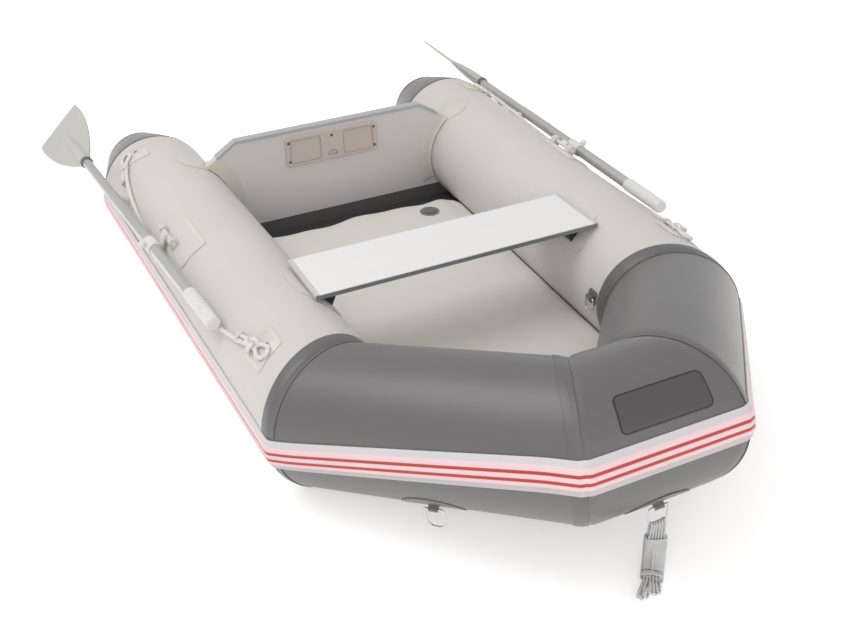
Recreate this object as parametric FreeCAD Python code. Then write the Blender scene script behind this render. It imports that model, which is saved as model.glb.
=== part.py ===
import FreeCAD, Part
import math
import os

# Inflatable sport dinghy, millimetres. +Z is up, the bow points along -Y and the stern along +Y.
# The origin is on the hull centreline at the level that the tubes rest on, near mid length.
# "left" is the -X side and "right" the +X side. The right half is built and mirrored.

V = FreeCAD.Vector

# Buoyancy tubes: three chambers of coated fabric, drawn on their centre lines
tube_radius = 166.0
tube_wall = 2.0
stern_half_beam = 516.0        # tube centre line at the stern cones
bow_half_beam = 467.0          # tube centre line at the first bow joint
stern_joint_y = 897.0
bow_joint_y = -501.0
nose_half_width = 107.0        # centre line of the front tube's ends
nose_y = -959.0
nose_rise = 115.0              # how far the front tube stands above the side tubes
cone_length = 225.0
cone_end_radius = 96.0
cone_end_fillet = 46.0
weld_band_thickness = 1.0
side_band_width = 34.0
nose_band_width = 28.0
baffle_thickness = 1.5
baffle_depth = 60.0
glue_line = 0.2                # between a pad and the curved fabric that it is glued to

# Rubbing strake round the outside
strake_height = 72.0
strake_thickness = 8.0
strake_edge = 3.0
strake_side_drop = 12.0        # its middle, below the side tube's centre line
strake_nose_lift = 48.0        # and above the front tube's centre line
strake_aft_y = 889.0

# Hull bottom and air floor
bottom_thickness = 2.5
bottom_level = 28.5            # underside of the flat part
sweep_start_y = -430.0
sweep_radius = 705.0
floor_thickness = 50.0
floor_skin = 2.0
floor_gap = 1.0
floor_side_gap = 2.0
floor_half_width = 374.0
floor_aft_y = 540.0
floor_fore_y = -812.0
floor_corner = 90.0
valve_x = 240.0
valve_y = 455.0
valve_radius = 21.0
valve_seat_radius = 31.0
cap_radius = 19.0
cap_height = 5.0
valve_depth = 30.0
aft_valve_setback = 130.0      # chamber valves: behind the transom, and half way along the bow quarter
aft_valve_angle = -68.0
bow_valve_angle = -75.0

# Transom
transom_fore_y = 655.0
transom_thickness = 22.0
transom_top = 360.0
transom_flat_half = 306.0
transom_corner_half = 404.0
transom_corner_z = 299.0
transom_bottom = 40.0
sill_top = 74.0
trim_thickness = 3.0
trim_lip = 7.0
sheet_thickness = 2.0          # sill strip and fabric flanges
trim_end_inset = 34.0
flange_reach = 40.0            # width of the fabric rings that hold the board to the tubes
saddle_y = 680.0               # oval patches on the tubes over the board's ends
saddle_angle = -26.5
saddle_length = 114.0
saddle_width = 110.0

# Outboard clamping pads
pad_width = 306.0
pad_height = 98.0
pad_middle_z = 291.0
pad_thickness = 7.0
pad_corner = 12.0
pocket_width = 98.0
pocket_height = 74.0
pocket_depth = 3.0
pocket_offset = 88.0
screw_radius = 2.5
screw_head_radius = 5.0

# Thwart
thwart_width = 198.0
thwart_middle_y = -157.0
thwart_sink = 6.0              # its top lies below the crowns of the tubes
thwart_thickness = 14.0
thwart_end_gap = 2.4           # between its ends and the tubes
thwart_wall = 2.2
thwart_ribs = 4
end_cap_length = 12.0
end_cap_plug = 25.0
support_length = 55.0
support_inset = 9.0            # from the plank's end to the support
support_width = 120.0
support_height = 26.0          # of its upright inner face, above the chamfer
thwart_patch_setback = 20.0
thwart_patch_angle = -38.0

# Oars, measured from the oarlock pin along the shaft
oar_pin_y = 287.0
oar_pin_angle = 57.15          # round the tube from its top
oar_pin_height = 35.9          # above the tube's skin
oar_direction = V(0.063, 1.0, -0.030)
pin_lean = 66.0                # the pin leans outboard from upright
handle_tube_radius = 16.0
tail_tube_radius = 14.3
oar_tube_wall = 1.5
grip_radius = 18.5
grip_start = 314.0
grip_length = 174.0
handle_tube_aft = 375.0
tail_tube_fore = 165.0
ferrule_at = 702.0
ferrule_radius = 19.0
ferrule_length = 12.0
blade_length = 391.0
blade_width = 190.0
blade_thickness = 5.0
blade_corner = 16.0
spine_length = 300.0
spine_tip = 2.5
blade_roll = -24.0             # blade face against the plane square to the pin
button_at = 205.0
button_radius = 3.5
button_stroke = 3.0

# Oarlocks
lock_bar_angle = 44.0          # round the tube from its top
lock_bar_radius = 5.5
lock_bar_length = 118.0
lock_bar_height = 12.5
lock_lug_radius = 12.5
lock_lug_length = 22.0
lock_arm_width = 30.0
lock_arm_thickness = 4.2
lock_pin_radius = 5.0
collar_radius = 19.5
collar_length = 56.0
knob_radius = 10.0
running_gap = 0.05
lock_patch_angle = 37.5
lock_patch_outline = [(-50, -148), (48, -148), (48, 104), (-50, 24)]
lock_patch_thickness = 2.5
patch_thickness = 1.5
cradle_at = 346.0              # where the stowed shaft lies on its cradle
cradle_gap = 0.3

# Rope eyelets, grab ropes
rope_radius = 6.0
rope_lift = 0.4
eyelet_outer = 9.0
eyelet_inner = 5.0
eyelet_spread = 14.0           # from the middle of a pad to each eyelet
bow_patch_y = -375.0
bow_patch_angle = 36.0
bow_patch_outline = [(-48, -26), (43, -49), (43, 37), (-48, 57)]
stern_patch_y = 826.0
stern_patch_angle = 27.0
stern_patch_outline = [(-48, -57), (43, -37), (43, 49), (-48, 26)]

# Towing rings
ring_wire = 2.5
ring_bar = 46.0
ring_drop = 46.0
ring_shoulder = 6.0            # bend radius beside the straight bar
ring_bend = 17.0               # and at the bottom of the loop
inner_ring_bar = 36.0
inner_ring_drop = 38.0
inner_ring_bend = 12.0
inner_ring_y = -385.0
inner_ring_angle = -82.0
inner_patch = 38.0
sleeve_radius = 6.0
sleeve_length = 20.0
sleeve_height = 9.0            # of the ring's bar above the skin
side_ring_at = 294.0           # along the bow quarter tube from its nose end
side_ring_angle = 136.0
nose_ring_angle = 133.0
nose_ring_offset = 10.0        # towards the right
tow_patch_length = 150.0
tow_patch_width = 92.0

# Tow rope, wound into a hank that hangs from the nose ring and ends on the ground
hank_width = 40.0
hank_depth = 24.0
hank_flat_length = 104.0


# Levels and ends that follow from the sizes above
far = 4000.0                   # past every piece, for cutting blocks
floor_top = bottom_level + bottom_thickness + floor_gap + floor_thickness
thwart_top = 2 * tube_radius - thwart_sink


def unit(vector):
    """The vector at length one."""
    return V(vector).normalize()


def mirrored(shape):
    """The left-hand copy of a right-hand shape."""
    return shape.mirror(V(0, 0, 0), V(1, 0, 0))


def largest(shape):
    """The biggest solid that a cut leaves."""
    return max(shape.Solids, key=lambda solid: solid.Volume)


def joined(shapes):
    """One clean solid from touching or crossing ones."""
    return shapes[0].multiFuse(shapes[1:]).removeSplitter()


def frame_at(origin, normal, along):
    """A placement with its Z on normal and its Y on along."""
    across = along.cross(normal)
    return FreeCAD.Placement(origin, FreeCAD.Rotation(across, along, normal, "ZYX"))


def moved(shape, placement):
    """A copy of the shape carried to the placement."""
    copy = shape.copy()
    copy.Placement = placement.multiply(copy.Placement)
    return copy


def half_space(point, normal):
    """A big block whose near face lies at the point and faces against normal."""
    block = Part.makeBox(far, far, far, V(-far / 2, -far / 2, 0))
    return moved(block, FreeCAD.Placement(point, FreeCAD.Rotation(V(0, 0, 1), normal)))


def rounded_outline(points, radius):
    """A flat closed wire through the points in XY, its corners rounded by one radius or one each."""
    corners = [V(x, y, 0) for x, y in points]
    radii = radius if isinstance(radius, list) else [radius] * len(points)
    edges = []
    ends = []
    for index, corner in enumerate(corners):
        back = unit(corners[index - 1] - corner)
        ahead = unit(corners[(index + 1) % len(corners)] - corner)
        half = back.getAngle(ahead) / 2
        reach = radii[index] / math.tan(half)
        middle = corner + unit(back + ahead) * (radii[index] / math.sin(half) - radii[index])
        ends.append((corner + back * reach, middle, corner + ahead * reach))
    for index, (start, middle, end) in enumerate(ends):
        edges.append(Part.Arc(start, middle, end).toShape())
        edges.append(Part.LineSegment(end, ends[(index + 1) % len(ends)][0]).toShape())
    return Part.Wire(edges)


def rounded_rectangle(width, height, radius):
    """A rounded rectangle about the origin in XY."""
    x, y = width / 2, height / 2
    return rounded_outline([(-x, -y), (x, -y), (x, y), (-x, y)], radius)


def ellipse_outline(length, width):
    """An ellipse about the origin, long along Y."""
    ellipse = Part.Ellipse(V(0, length / 2, 0), V(width / 2, 0, 0), V(0, 0, 0))
    return Part.Wire(ellipse.toShape())


def slab(outline, low, high):
    """The outline as a plate between two levels."""
    face = Part.Face(outline)
    face.translate(V(0, 0, low))
    return face.extrude(V(0, 0, high - low))


class TubeRun:
    """One straight stretch of tube, from start to end, outboard side to the right of travel."""

    def __init__(self, start, end):
        self.start = start
        self.end = end
        self.along = unit(end - start)
        self.out = unit(self.along.cross(V(0, 0, 1)))
        self.up = self.out.cross(self.along)
        self.length = start.distanceToPoint(end)

    def normal(self, angle):
        """Outward direction at an angle from the top towards outboard."""
        turn = math.radians(angle)
        return self.up * math.cos(turn) + self.out * math.sin(turn)

    def frame(self, distance, angle, height=0.0):
        """Placement on the skin: Z outward, Y along the tube."""
        normal = self.normal(angle)
        origin = self.start + self.along * distance + normal * (tube_radius + height)
        return frame_at(origin, normal, self.along)

    def rod(self, radius, extra=0.0):
        """A round bar on the centre line, longer by extra at both ends."""
        return Part.makeCylinder(radius, self.length + 2 * extra, self.start - self.along * extra, self.along)

    def sleeve(self, inner, outer, extra=0.0):
        """A pipe on the centre line."""
        return self.rod(outer, extra).cut(self.rod(inner, extra + 1))

    def pad(self, outline, distance, angle, thickness):
        """A glued pad that follows the skin, cut to an outline in the skin's own XY."""
        depth = tube_radius / 3
        stamp = moved(slab(outline, -depth, depth), self.frame(distance, angle))
        skin = tube_radius + glue_line
        return largest(self.sleeve(skin, skin + thickness).common(stamp))

    def angle_of(self, point):
        """Angle of a point round the tube, from the top towards outboard."""
        offset = point - self.start
        return math.degrees(math.atan2(offset.dot(self.out), offset.dot(self.up)))


side_stern = V(stern_half_beam, stern_joint_y, tube_radius)
side_bow = V(bow_half_beam, bow_joint_y, tube_radius)
nose_right = V(nose_half_width, nose_y, tube_radius + nose_rise)
nose_left = V(-nose_half_width, nose_y, tube_radius + nose_rise)
side_run = TubeRun(side_bow, side_stern)
quarter_run = TubeRun(nose_right, side_bow)
nose_run = TubeRun(nose_left, nose_right)
bow_joint_normal = unit(side_run.along + quarter_run.along)     # points aft
nose_joint_normal = unit(quarter_run.along + nose_run.along)    # points aft and outboard
stern_normal = side_run.along


def side_distance(y):
    """Distance along the side tube at which its centre line has this y."""
    return (y - side_bow.y) / side_run.along.y


def side_centre_x(y):
    """Half beam of the side tube's centre line at this y."""
    return side_bow.x + side_run.along.x * side_distance(y)


def cut_side(shape):
    """Trim a side-tube shape at its bow and stern joints."""
    return shape.cut(half_space(side_bow, bow_joint_normal * -1)).cut(half_space(side_stern, stern_normal))


def cut_quarter(shape):
    """Trim a bow-quarter shape at both of its mitred joints."""
    return shape.cut(half_space(side_bow, bow_joint_normal)).cut(half_space(nose_right, nose_joint_normal * -1))


def cut_nose(shape):
    """Trim a nose shape at its two mitred joints."""
    left_normal = V(-nose_joint_normal.x, nose_joint_normal.y, nose_joint_normal.z)
    return shape.cut(half_space(nose_right, nose_joint_normal)).cut(half_space(nose_left, left_normal))


def tube_skins():
    """The three right-hand and middle chambers' skins."""
    inner = tube_radius - tube_wall
    side = cut_side(side_run.sleeve(inner, tube_radius, tube_radius))
    quarter = cut_quarter(quarter_run.sleeve(inner, tube_radius, tube_radius))
    nose = cut_nose(nose_run.sleeve(inner, tube_radius, tube_radius))
    return side, quarter, nose


def tube_envelope(grow):
    """The tubes as solid bars, grown, on both sides: what the soft middle is trimmed by."""
    radius = tube_radius + grow
    side = side_run.rod(radius, tube_radius)
    quarter = cut_quarter(quarter_run.rod(radius, tube_radius))
    side = side.cut(half_space(side_bow, bow_joint_normal * -1))
    nose = cut_nose(nose_run.rod(radius, tube_radius))
    return [side, mirrored(side), quarter, mirrored(quarter), nose]


def stern_cone():
    """Tapered end of a side chamber, with a round closed end."""
    def taper(inset):
        cone = Part.makeCone(tube_radius - inset, cone_end_radius - inset, cone_length - inset,
                             side_stern, side_run.along)
        rim = [edge for edge in cone.Edges if edge.Curve.TypeId == "Part::GeomCircle"
               and edge.Curve.Radius < cone_end_radius + 1]
        return cone.makeFillet(cone_end_fillet, rim)

    return largest(taper(0).cut(taper(tube_wall)))


def chamber_baffles():
    """The conical wall that parts each side chamber from the bow chamber."""
    radius = tube_radius - tube_wall - glue_line
    wide = side_run.start + side_run.along * (side_band_width * 2 + tube_radius)
    outer = Part.makeCone(radius, radius / 4, baffle_depth, wide, side_run.along)
    lining = Part.makeCone(radius, radius / 4, baffle_depth, wide - side_run.along * baffle_thickness,
                           side_run.along)
    wall = outer.cut(lining)
    return Part.makeCompound([wall, mirrored(wall)])


def strake_section(run, distance, angle, lift=0.0):
    """Cross-section wire of the strake, square to its run at a distance."""
    half = math.degrees(strake_height / 2 / tube_radius)
    rim = half * 0.86
    inner = tube_radius + glue_line + lift
    base = run.start + run.along * distance

    def point(turn, radius):
        return base + run.normal(angle + turn) * radius

    edges = [
        Part.Arc(point(-half, inner), point(0, inner), point(half, inner)).toShape(),
        Part.LineSegment(point(half, inner), point(half, inner + strake_edge)).toShape(),
        Part.LineSegment(point(half, inner + strake_edge), point(rim, inner + strake_thickness)).toShape(),
        Part.Arc(point(rim, inner + strake_thickness), point(0, inner + strake_thickness),
                 point(-rim, inner + strake_thickness)).toShape(),
        Part.LineSegment(point(-rim, inner + strake_thickness), point(-half, inner + strake_edge)).toShape(),
        Part.LineSegment(point(-half, inner + strake_edge), point(-half, inner)).toShape(),
    ]
    return Part.Wire(edges)


def strake_angles():
    """Where the strake's middle runs round each tube."""
    side = 90 + math.degrees(math.asin(strake_side_drop / tube_radius))
    nose = 90 - math.degrees(math.asin(strake_nose_lift / tube_radius))
    # the same point on the mitred joint, seen from the bow quarter tube
    reach = side_run.normal(side) * tube_radius
    slide = -reach.dot(bow_joint_normal) / side_run.along.dot(bow_joint_normal)
    quarter_aft = quarter_run.angle_of(side_bow + reach + side_run.along * slide)
    reach = nose_run.normal(nose) * tube_radius
    slide = -reach.dot(nose_joint_normal) / nose_run.along.dot(nose_joint_normal)
    quarter_fore = quarter_run.angle_of(nose_right + reach + nose_run.along * slide)
    return side, quarter_fore, quarter_aft, nose


def strake_parts(lift=0.0):
    """The strake in five mitred lengths: side, bow quarter and nose on the right."""
    side_angle, fore_angle, aft_angle, nose_angle = strake_angles()
    reach = tube_radius
    end = side_distance(strake_aft_y)
    side = Part.makeLoft([strake_section(side_run, -reach, side_angle, lift),
                          strake_section(side_run, end, side_angle, lift)], True, True)
    side = side.cut(half_space(side_bow, bow_joint_normal * -1))
    nose = Part.makeLoft([strake_section(nose_run, -reach, nose_angle, lift),
                          strake_section(nose_run, nose_run.length + reach, nose_angle, lift)], True, True)
    stations = 7
    sections = []
    for index in range(stations):
        share = index / (stations - 1)
        distance = -reach + share * (quarter_run.length + 2 * reach)
        turn = distance / quarter_run.length
        turn = min(max(turn, 0.0), 1.0)
        sections.append(strake_section(quarter_run, distance,
                                       fore_angle + (aft_angle - fore_angle) * turn, glue_line + lift))
    quarter = cut_quarter(Part.makeLoft(sections, True, False))
    return [side, mirrored(side), quarter, mirrored(quarter), cut_nose(nose)]


def weld_bands():
    """Overlap strips of dark fabric beside the four mitred joints, ended at the strake's edges."""
    strake = strake_parts(-2 * glue_line)
    skin = tube_radius + glue_line / 2
    bands = []
    side = side_run.sleeve(skin, skin + weld_band_thickness, tube_radius)
    side = side.cut(half_space(side_bow, bow_joint_normal * -1))
    side = side.cut(half_space(side_bow + bow_joint_normal * side_band_width, bow_joint_normal))
    quarter = quarter_run.sleeve(skin, skin + weld_band_thickness, tube_radius)
    quarter = quarter.cut(half_space(nose_right, nose_joint_normal * -1))
    quarter = quarter.cut(half_space(nose_right + nose_joint_normal * nose_band_width, nose_joint_normal))
    for band, lengths in ((side, (strake[0],)), (quarter, (strake[2], strake[4]))):
        for length in lengths:
            band = band.cut(length)
        bands += [largest(band), mirrored(largest(band))]
    return Part.makeCompound(bands)


def swept_sheet(low, thickness, half_width, fore_y, aft_y):
    """A sheet that lies flat and sweeps up towards the bow, seen in its side profile."""
    centre = V(0, sweep_start_y, bottom_level + sweep_radius)

    def arc_points(level):
        radius = sweep_radius - level
        angles = [0.0, 0.5, 1.0]
        reach = math.asin((sweep_start_y - fore_y) / sweep_radius)
        return [centre + V(0, -radius * math.sin(reach * share), -radius * math.cos(reach * share))
                for share in angles]

    under = arc_points(low)
    over = arc_points(low + thickness)
    under_aft = V(0, aft_y, under[0].z)
    over_aft = V(0, aft_y, over[0].z)
    wire = Part.Wire([
        Part.LineSegment(under_aft, under[0]).toShape(),
        Part.Arc(under[0], under[1], under[2]).toShape(),
        Part.LineSegment(under[2], over[2]).toShape(),
        Part.Arc(over[2], over[1], over[0]).toShape(),
        Part.LineSegment(over[0], over_aft).toShape(),
        Part.LineSegment(over_aft, under_aft).toShape(),
    ])
    face = Part.Face(wire)
    face.translate(V(-half_width, 0, 0))
    return face.extrude(V(2 * half_width, 0, 0))


def hull_bottom(bands):
    """Bottom fabric between the tubes, swept up to the nose and let in round the weld bands."""
    sheet = swept_sheet(0, bottom_thickness, bow_half_beam, nose_y, transom_fore_y + transom_thickness)
    return largest(sheet.cut(Part.makeCompound(tube_envelope(0))).cut(bands))


def air_floor():
    """High-pressure mattress between the tubes, with rounded aft corners and a valve pocket."""
    def mattress(inset):
        low = bottom_thickness + floor_gap + inset
        sheet = swept_sheet(low, floor_thickness - 2 * inset, floor_half_width - inset,
                            floor_fore_y + inset, floor_aft_y - inset)
        plan = rounded_rectangle(2 * (floor_half_width - inset), floor_aft_y - floor_fore_y - 2 * inset,
                                 floor_corner - inset)
        plan.translate(V(0, (floor_aft_y + floor_fore_y) / 2, 0))
        sheet = sheet.common(slab(plan, 0, 2 * tube_radius + nose_rise))
        return largest(sheet.cut(Part.makeCompound(tube_envelope(floor_side_gap + inset))))

    def well(radius, depth):
        return Part.makeCylinder(radius, depth + 2, V(valve_x, valve_y, floor_top - depth))

    cup = well(valve_radius + glue_line + floor_skin, valve_depth + floor_skin)
    inside = mattress(floor_skin).cut(cup)
    return largest(mattress(0).cut(inside).cut(well(valve_radius + glue_line, valve_depth)))


def valve_parts():
    """An inflation valve at the origin, mouth along +Z: the body with its flange, and the cap."""
    body = Part.makeCylinder(valve_radius, valve_depth, V(0, 0, -valve_depth))
    flange = Part.makeCylinder(valve_seat_radius, 1.6, V(0, 0, glue_line))
    neck = Part.makeCylinder(valve_radius, glue_line + 1.6)
    body = joined([body, flange, neck])
    bore = Part.makeCylinder(valve_radius - 5, valve_depth - 3, V(0, 0, 3 - valve_depth))
    mouth = Part.makeCylinder(valve_radius - 5, 4, V(0, 0, -1))
    body = body.cut(bore).cut(mouth)
    hub = Part.makeCylinder(4, valve_depth - 12, V(0, 0, 2 - valve_depth))
    spokes = Part.makeBox(2 * (valve_radius - 4.5), 2, 4, V(-(valve_radius - 4.5), -1, 3 - valve_depth))
    body = joined([body, hub.cut(half_space(V(0, 0, -14), V(0, 0, 1))), spokes])
    seat = glue_line + 1.6 + 0.3
    cap = Part.makeCylinder(cap_radius, cap_height, V(0, 0, seat))
    cap = cap.makeFillet(1.2, [edge for edge in cap.Edges if edge.BoundBox.ZMin > seat + 1])
    spigot = Part.makeCylinder(valve_radius - 5 - running_gap, 8, V(0, 0, seat - 8))
    cap = joined([cap, spigot])
    grip = Part.makeBox(2 * cap_radius - 10, 3.5, 2.4, V(-cap_radius + 5, -1.75, seat + cap_height - 2.2))
    for side in (-1, 1):
        groove = grip.copy()
        groove.translate(V(0, side * 7, 0))
        cap = cap.cut(groove)
    return body, cap


def tube_valve_frames():
    """Seats of the chamber valves, on skin that faces inward: aft of the transom and on the bow quarter."""
    aft = side_run.frame(side_distance(transom_fore_y + aft_valve_setback), aft_valve_angle)
    bow = quarter_run.frame(quarter_run.length / 2, bow_valve_angle)
    return {"right": aft, "bow": bow}


def add_valves(skins):
    """Chamber valves and the holes that they sit in. Returns bodies, caps and cut skins."""
    body, cap = valve_parts()
    frames = tube_valve_frames()
    hole = Part.makeCylinder(valve_radius + running_gap, 20, V(0, 0, -10))
    right_body, right_cap = moved(body, frames["right"]), moved(cap, frames["right"])
    bow_body, bow_cap = moved(body, frames["bow"]), moved(cap, frames["bow"])
    bodies = [right_body, mirrored(right_body), mirrored(bow_body)]
    caps = {"right": right_cap, "left": mirrored(right_cap), "bow": mirrored(bow_cap)}
    side, quarter, nose = skins
    side = side.cut(moved(hole, frames["right"]))
    bored_quarter = mirrored(quarter.cut(moved(hole, frames["bow"])))
    return bodies, caps, (side, quarter, bored_quarter, nose)


def transom_outline():
    """Board outline in XZ: chamfered top corners, then down to where the tubes take over."""
    return [(-transom_flat_half, transom_top), (-transom_corner_half, transom_corner_z),
            (-transom_corner_half, transom_bottom), (transom_corner_half, transom_bottom),
            (transom_corner_half, transom_corner_z), (transom_flat_half, transom_top)]


def upright_plate(points, fore_y, thickness, radius=None):
    """A plate square to Y from points in XZ."""
    outline = rounded_outline(points, radius) if radius else Part.makePolygon(
        [V(x, z, 0) for x, z in points] + [V(points[0][0], points[0][1], 0)])
    plate = Part.Face(outline).extrude(V(0, 0, -thickness))
    plate.rotate(V(0, 0, 0), V(1, 0, 0), 90)
    plate.translate(V(0, fore_y, 0))
    return plate


def transom_parts():
    """Board, edge trim, sill strip, and the fabric flanges and saddles that hold the board to the tubes."""
    envelope = Part.makeCompound(tube_envelope(0.3))
    board = largest(upright_plate(transom_outline(), transom_fore_y, transom_thickness).cut(envelope))
    lip = trim_thickness
    rise = (transom_top - transom_corner_z) / (transom_corner_half - transom_flat_half)
    end_x = transom_corner_half - trim_end_inset
    end_z = transom_top - rise * (end_x - transom_flat_half)
    over = [(-end_x, end_z + lip), (-end_x, end_z - trim_lip), (-transom_flat_half, transom_top - trim_lip),
            (transom_flat_half, transom_top - trim_lip), (end_x, end_z - trim_lip), (end_x, end_z + lip),
            (transom_flat_half, transom_top + lip), (-transom_flat_half, transom_top + lip)]
    trim = upright_plate(over, transom_fore_y - lip, transom_thickness + 2 * lip)
    trim = largest(trim.cut(upright_plate(transom_outline(), transom_fore_y, transom_thickness)))
    sheet_top = bottom_level + bottom_thickness
    sill = Part.makeBox(2 * transom_corner_half, sheet_thickness, sill_top - sheet_top,
                        V(-transom_corner_half, transom_fore_y - sheet_thickness, sheet_top))
    sill = largest(sill.cut(envelope))
    ring = side_run.sleeve(tube_radius + 0.3, tube_radius + flange_reach)
    flange = upright_plate(transom_outline(), transom_fore_y - glue_line - sheet_thickness, sheet_thickness)
    flange = flange.common(ring).cut(half_space(V(0, 0, sill_top + 0.5), V(0, 0, -1)))
    flange = largest(flange.cut(trim))
    saddle = side_run.pad(ellipse_outline(saddle_length, saddle_width), side_distance(saddle_y), saddle_angle,
                          patch_thickness)
    slot_fore = transom_fore_y - trim_thickness - glue_line
    slot_depth = transom_thickness + 2 * (trim_thickness + glue_line)
    saddle = largest(saddle.cut(upright_plate(transom_outline(), slot_fore, slot_depth)))
    return board, trim, sill, Part.makeCompound([flange, mirrored(flange), saddle, mirrored(saddle)])


def motor_pads():
    """Moulded clamping pads on both faces of the transom, with their screws."""
    blank = rounded_rectangle(pad_width, pad_height, pad_corner)
    plate = slab(blank, 0, pad_thickness)
    rim = [edge for edge in plate.Edges if edge.BoundBox.ZMin > pad_thickness - 0.1]
    plate = plate.makeFillet(2.0, rim)
    pocket = slab(rounded_rectangle(pocket_width, pocket_height, 6), pad_thickness - pocket_depth,
                  pad_thickness + 1)
    for side in (-1, 1):
        piece = pocket.copy()
        piece.translate(V(side * pocket_offset, 0, 0))
        plate = plate.cut(piece)
    relief = Part.makeCylinder(16, 3, V(0, -pad_height / 2 + 16, pad_thickness - 1.5))
    plate = plate.cut(relief.cut(half_space(V(0, -pad_height / 2 + 16, 0), V(0, -1, 0))))
    places = [(side * (pad_width / 2 - 11), level * (pad_height / 2 - 18)) for side in (-1, 1) for level in (-1, 1)]
    places.append((0, pad_height / 2 - 18))
    screws = []
    for x, y in places:
        plate = plate.cut(Part.makeCylinder(screw_radius + 0.1, pad_thickness + 2, V(x, y, -1)))
        plate = plate.cut(Part.makeCone(screw_radius, screw_head_radius, 2.5, V(x, y, pad_thickness - 2.5)))
    inner_frame = FreeCAD.Placement(V(0, transom_fore_y, pad_middle_z),
                                    FreeCAD.Rotation(V(1, 0, 0), V(0, 0, 1), V(0, -1, 0), "ZYX"))
    outer_frame = FreeCAD.Placement(V(0, transom_fore_y + transom_thickness, pad_middle_z),
                                    FreeCAD.Rotation(V(-1, 0, 0), V(0, 0, 1), V(0, 1, 0), "ZYX"))
    through = transom_thickness + 2 * (pad_thickness - 2.4)
    for x, y in places:
        shank = Part.makeCylinder(screw_radius, through, V(x, y, pad_thickness - 2.4 - through))
        heads = [Part.makeCone(screw_radius, screw_head_radius - 0.1, 2.3, V(x, y, pad_thickness - 2.4))]
        tail = pad_thickness - 2.4 - through
        heads.append(Part.makeCone(screw_head_radius - 0.1, screw_radius, 2.3, V(x, y, tail - 2.3)))
        screws.append(moved(joined([shank] + heads), inner_frame))
    holes = [moved(Part.makeCylinder(screw_radius + 0.1, transom_thickness + 2,
                                     V(x, y, -transom_thickness - 1)), inner_frame) for x, y in places]
    return moved(plate, inner_frame), moved(plate, outer_frame), Part.makeCompound(screws), holes


def thwart_parts():
    """Hollow aluminium plank with end caps, and the moulded blocks that carry it on the tubes."""
    fore = thwart_middle_y - thwart_width / 2
    under = thwart_top - thwart_thickness
    skin_inset = math.sqrt(tube_radius ** 2 - (under - tube_radius) ** 2)
    thwart_half_length = side_centre_x(fore) - skin_inset - thwart_end_gap
    length = 2 * (thwart_half_length - end_cap_length)
    plank = Part.makeBox(length, thwart_width, thwart_thickness, V(-length / 2, fore, under))
    plank = plank.makeFillet(2.0, [edge for edge in plank.Edges if edge.BoundBox.XLength > length - 1])
    cell = (thwart_width - thwart_wall * (thwart_ribs + 2)) / (thwart_ribs + 1)
    for index in range(thwart_ribs + 1):
        y = fore + thwart_wall + index * (cell + thwart_wall)
        plank = plank.cut(Part.makeBox(length + 2, cell, thwart_thickness - 2 * thwart_wall,
                                       V(-length / 2 - 1, y, under + thwart_wall)))
    head = Part.makeBox(end_cap_length, thwart_width, thwart_thickness,
                        V(thwart_half_length - end_cap_length, fore, under))
    head = head.makeFillet(3.0, [edge for edge in head.Edges
                                 if edge.BoundBox.XMin > thwart_half_length - 0.1])
    pieces = [head]
    for index in range(thwart_ribs + 1):
        y = fore + thwart_wall + index * (cell + thwart_wall)
        pieces.append(Part.makeBox(end_cap_plug + 1, cell - 2 * glue_line, thwart_thickness - 2 * thwart_wall
                                   - 2 * glue_line, V(thwart_half_length - end_cap_length - end_cap_plug,
                                                      y + glue_line, under + thwart_wall + glue_line)))
    cap = joined(pieces)
    inner_x = thwart_half_length - support_inset - support_length
    block = Part.makeBox(support_length, support_width, tube_radius,
                         V(inner_x, thwart_middle_y - support_width / 2, under - tube_radius))
    block = block.cut(Part.makeCompound(tube_envelope(patch_thickness + 2 * glue_line)))
    block = largest(block)
    block = block.cut(half_space(V(inner_x, 0, under - support_height), unit(V(-0.75, 0, -0.35))))
    patch = side_run.pad(rounded_outline([(-62, -118), (52, -40), (58, 60), (-30, 128), (-66, 60)], 26),
                         side_distance(thwart_middle_y - thwart_patch_setback), thwart_patch_angle,
                         patch_thickness)
    return plank, Part.makeCompound([cap, mirrored(cap)]), Part.makeCompound([block, mirrored(block)]), \
        Part.makeCompound([patch, mirrored(patch)])


def oar_frame():
    """Oar axes at the pin: Y aft along the shaft, Z along the pin away from the tube."""
    place = side_run.frame(side_distance(oar_pin_y), oar_pin_angle, oar_pin_height)
    along = unit(oar_direction)
    lean = math.radians(pin_lean)
    pin = V(math.sin(lean), 0, math.cos(lean))
    pin = unit(pin - along * pin.dot(along))
    return frame_at(place.Base, pin, along)


def pipe_along_y(outer, inner, start, end):
    """A pipe on the local Y axis."""
    pipe = Part.makeCylinder(outer, end - start, V(0, start, 0), V(0, 1, 0))
    return pipe.cut(Part.makeCylinder(inner, end - start + 2, V(0, start - 1, 0), V(0, 1, 0)))


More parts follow.
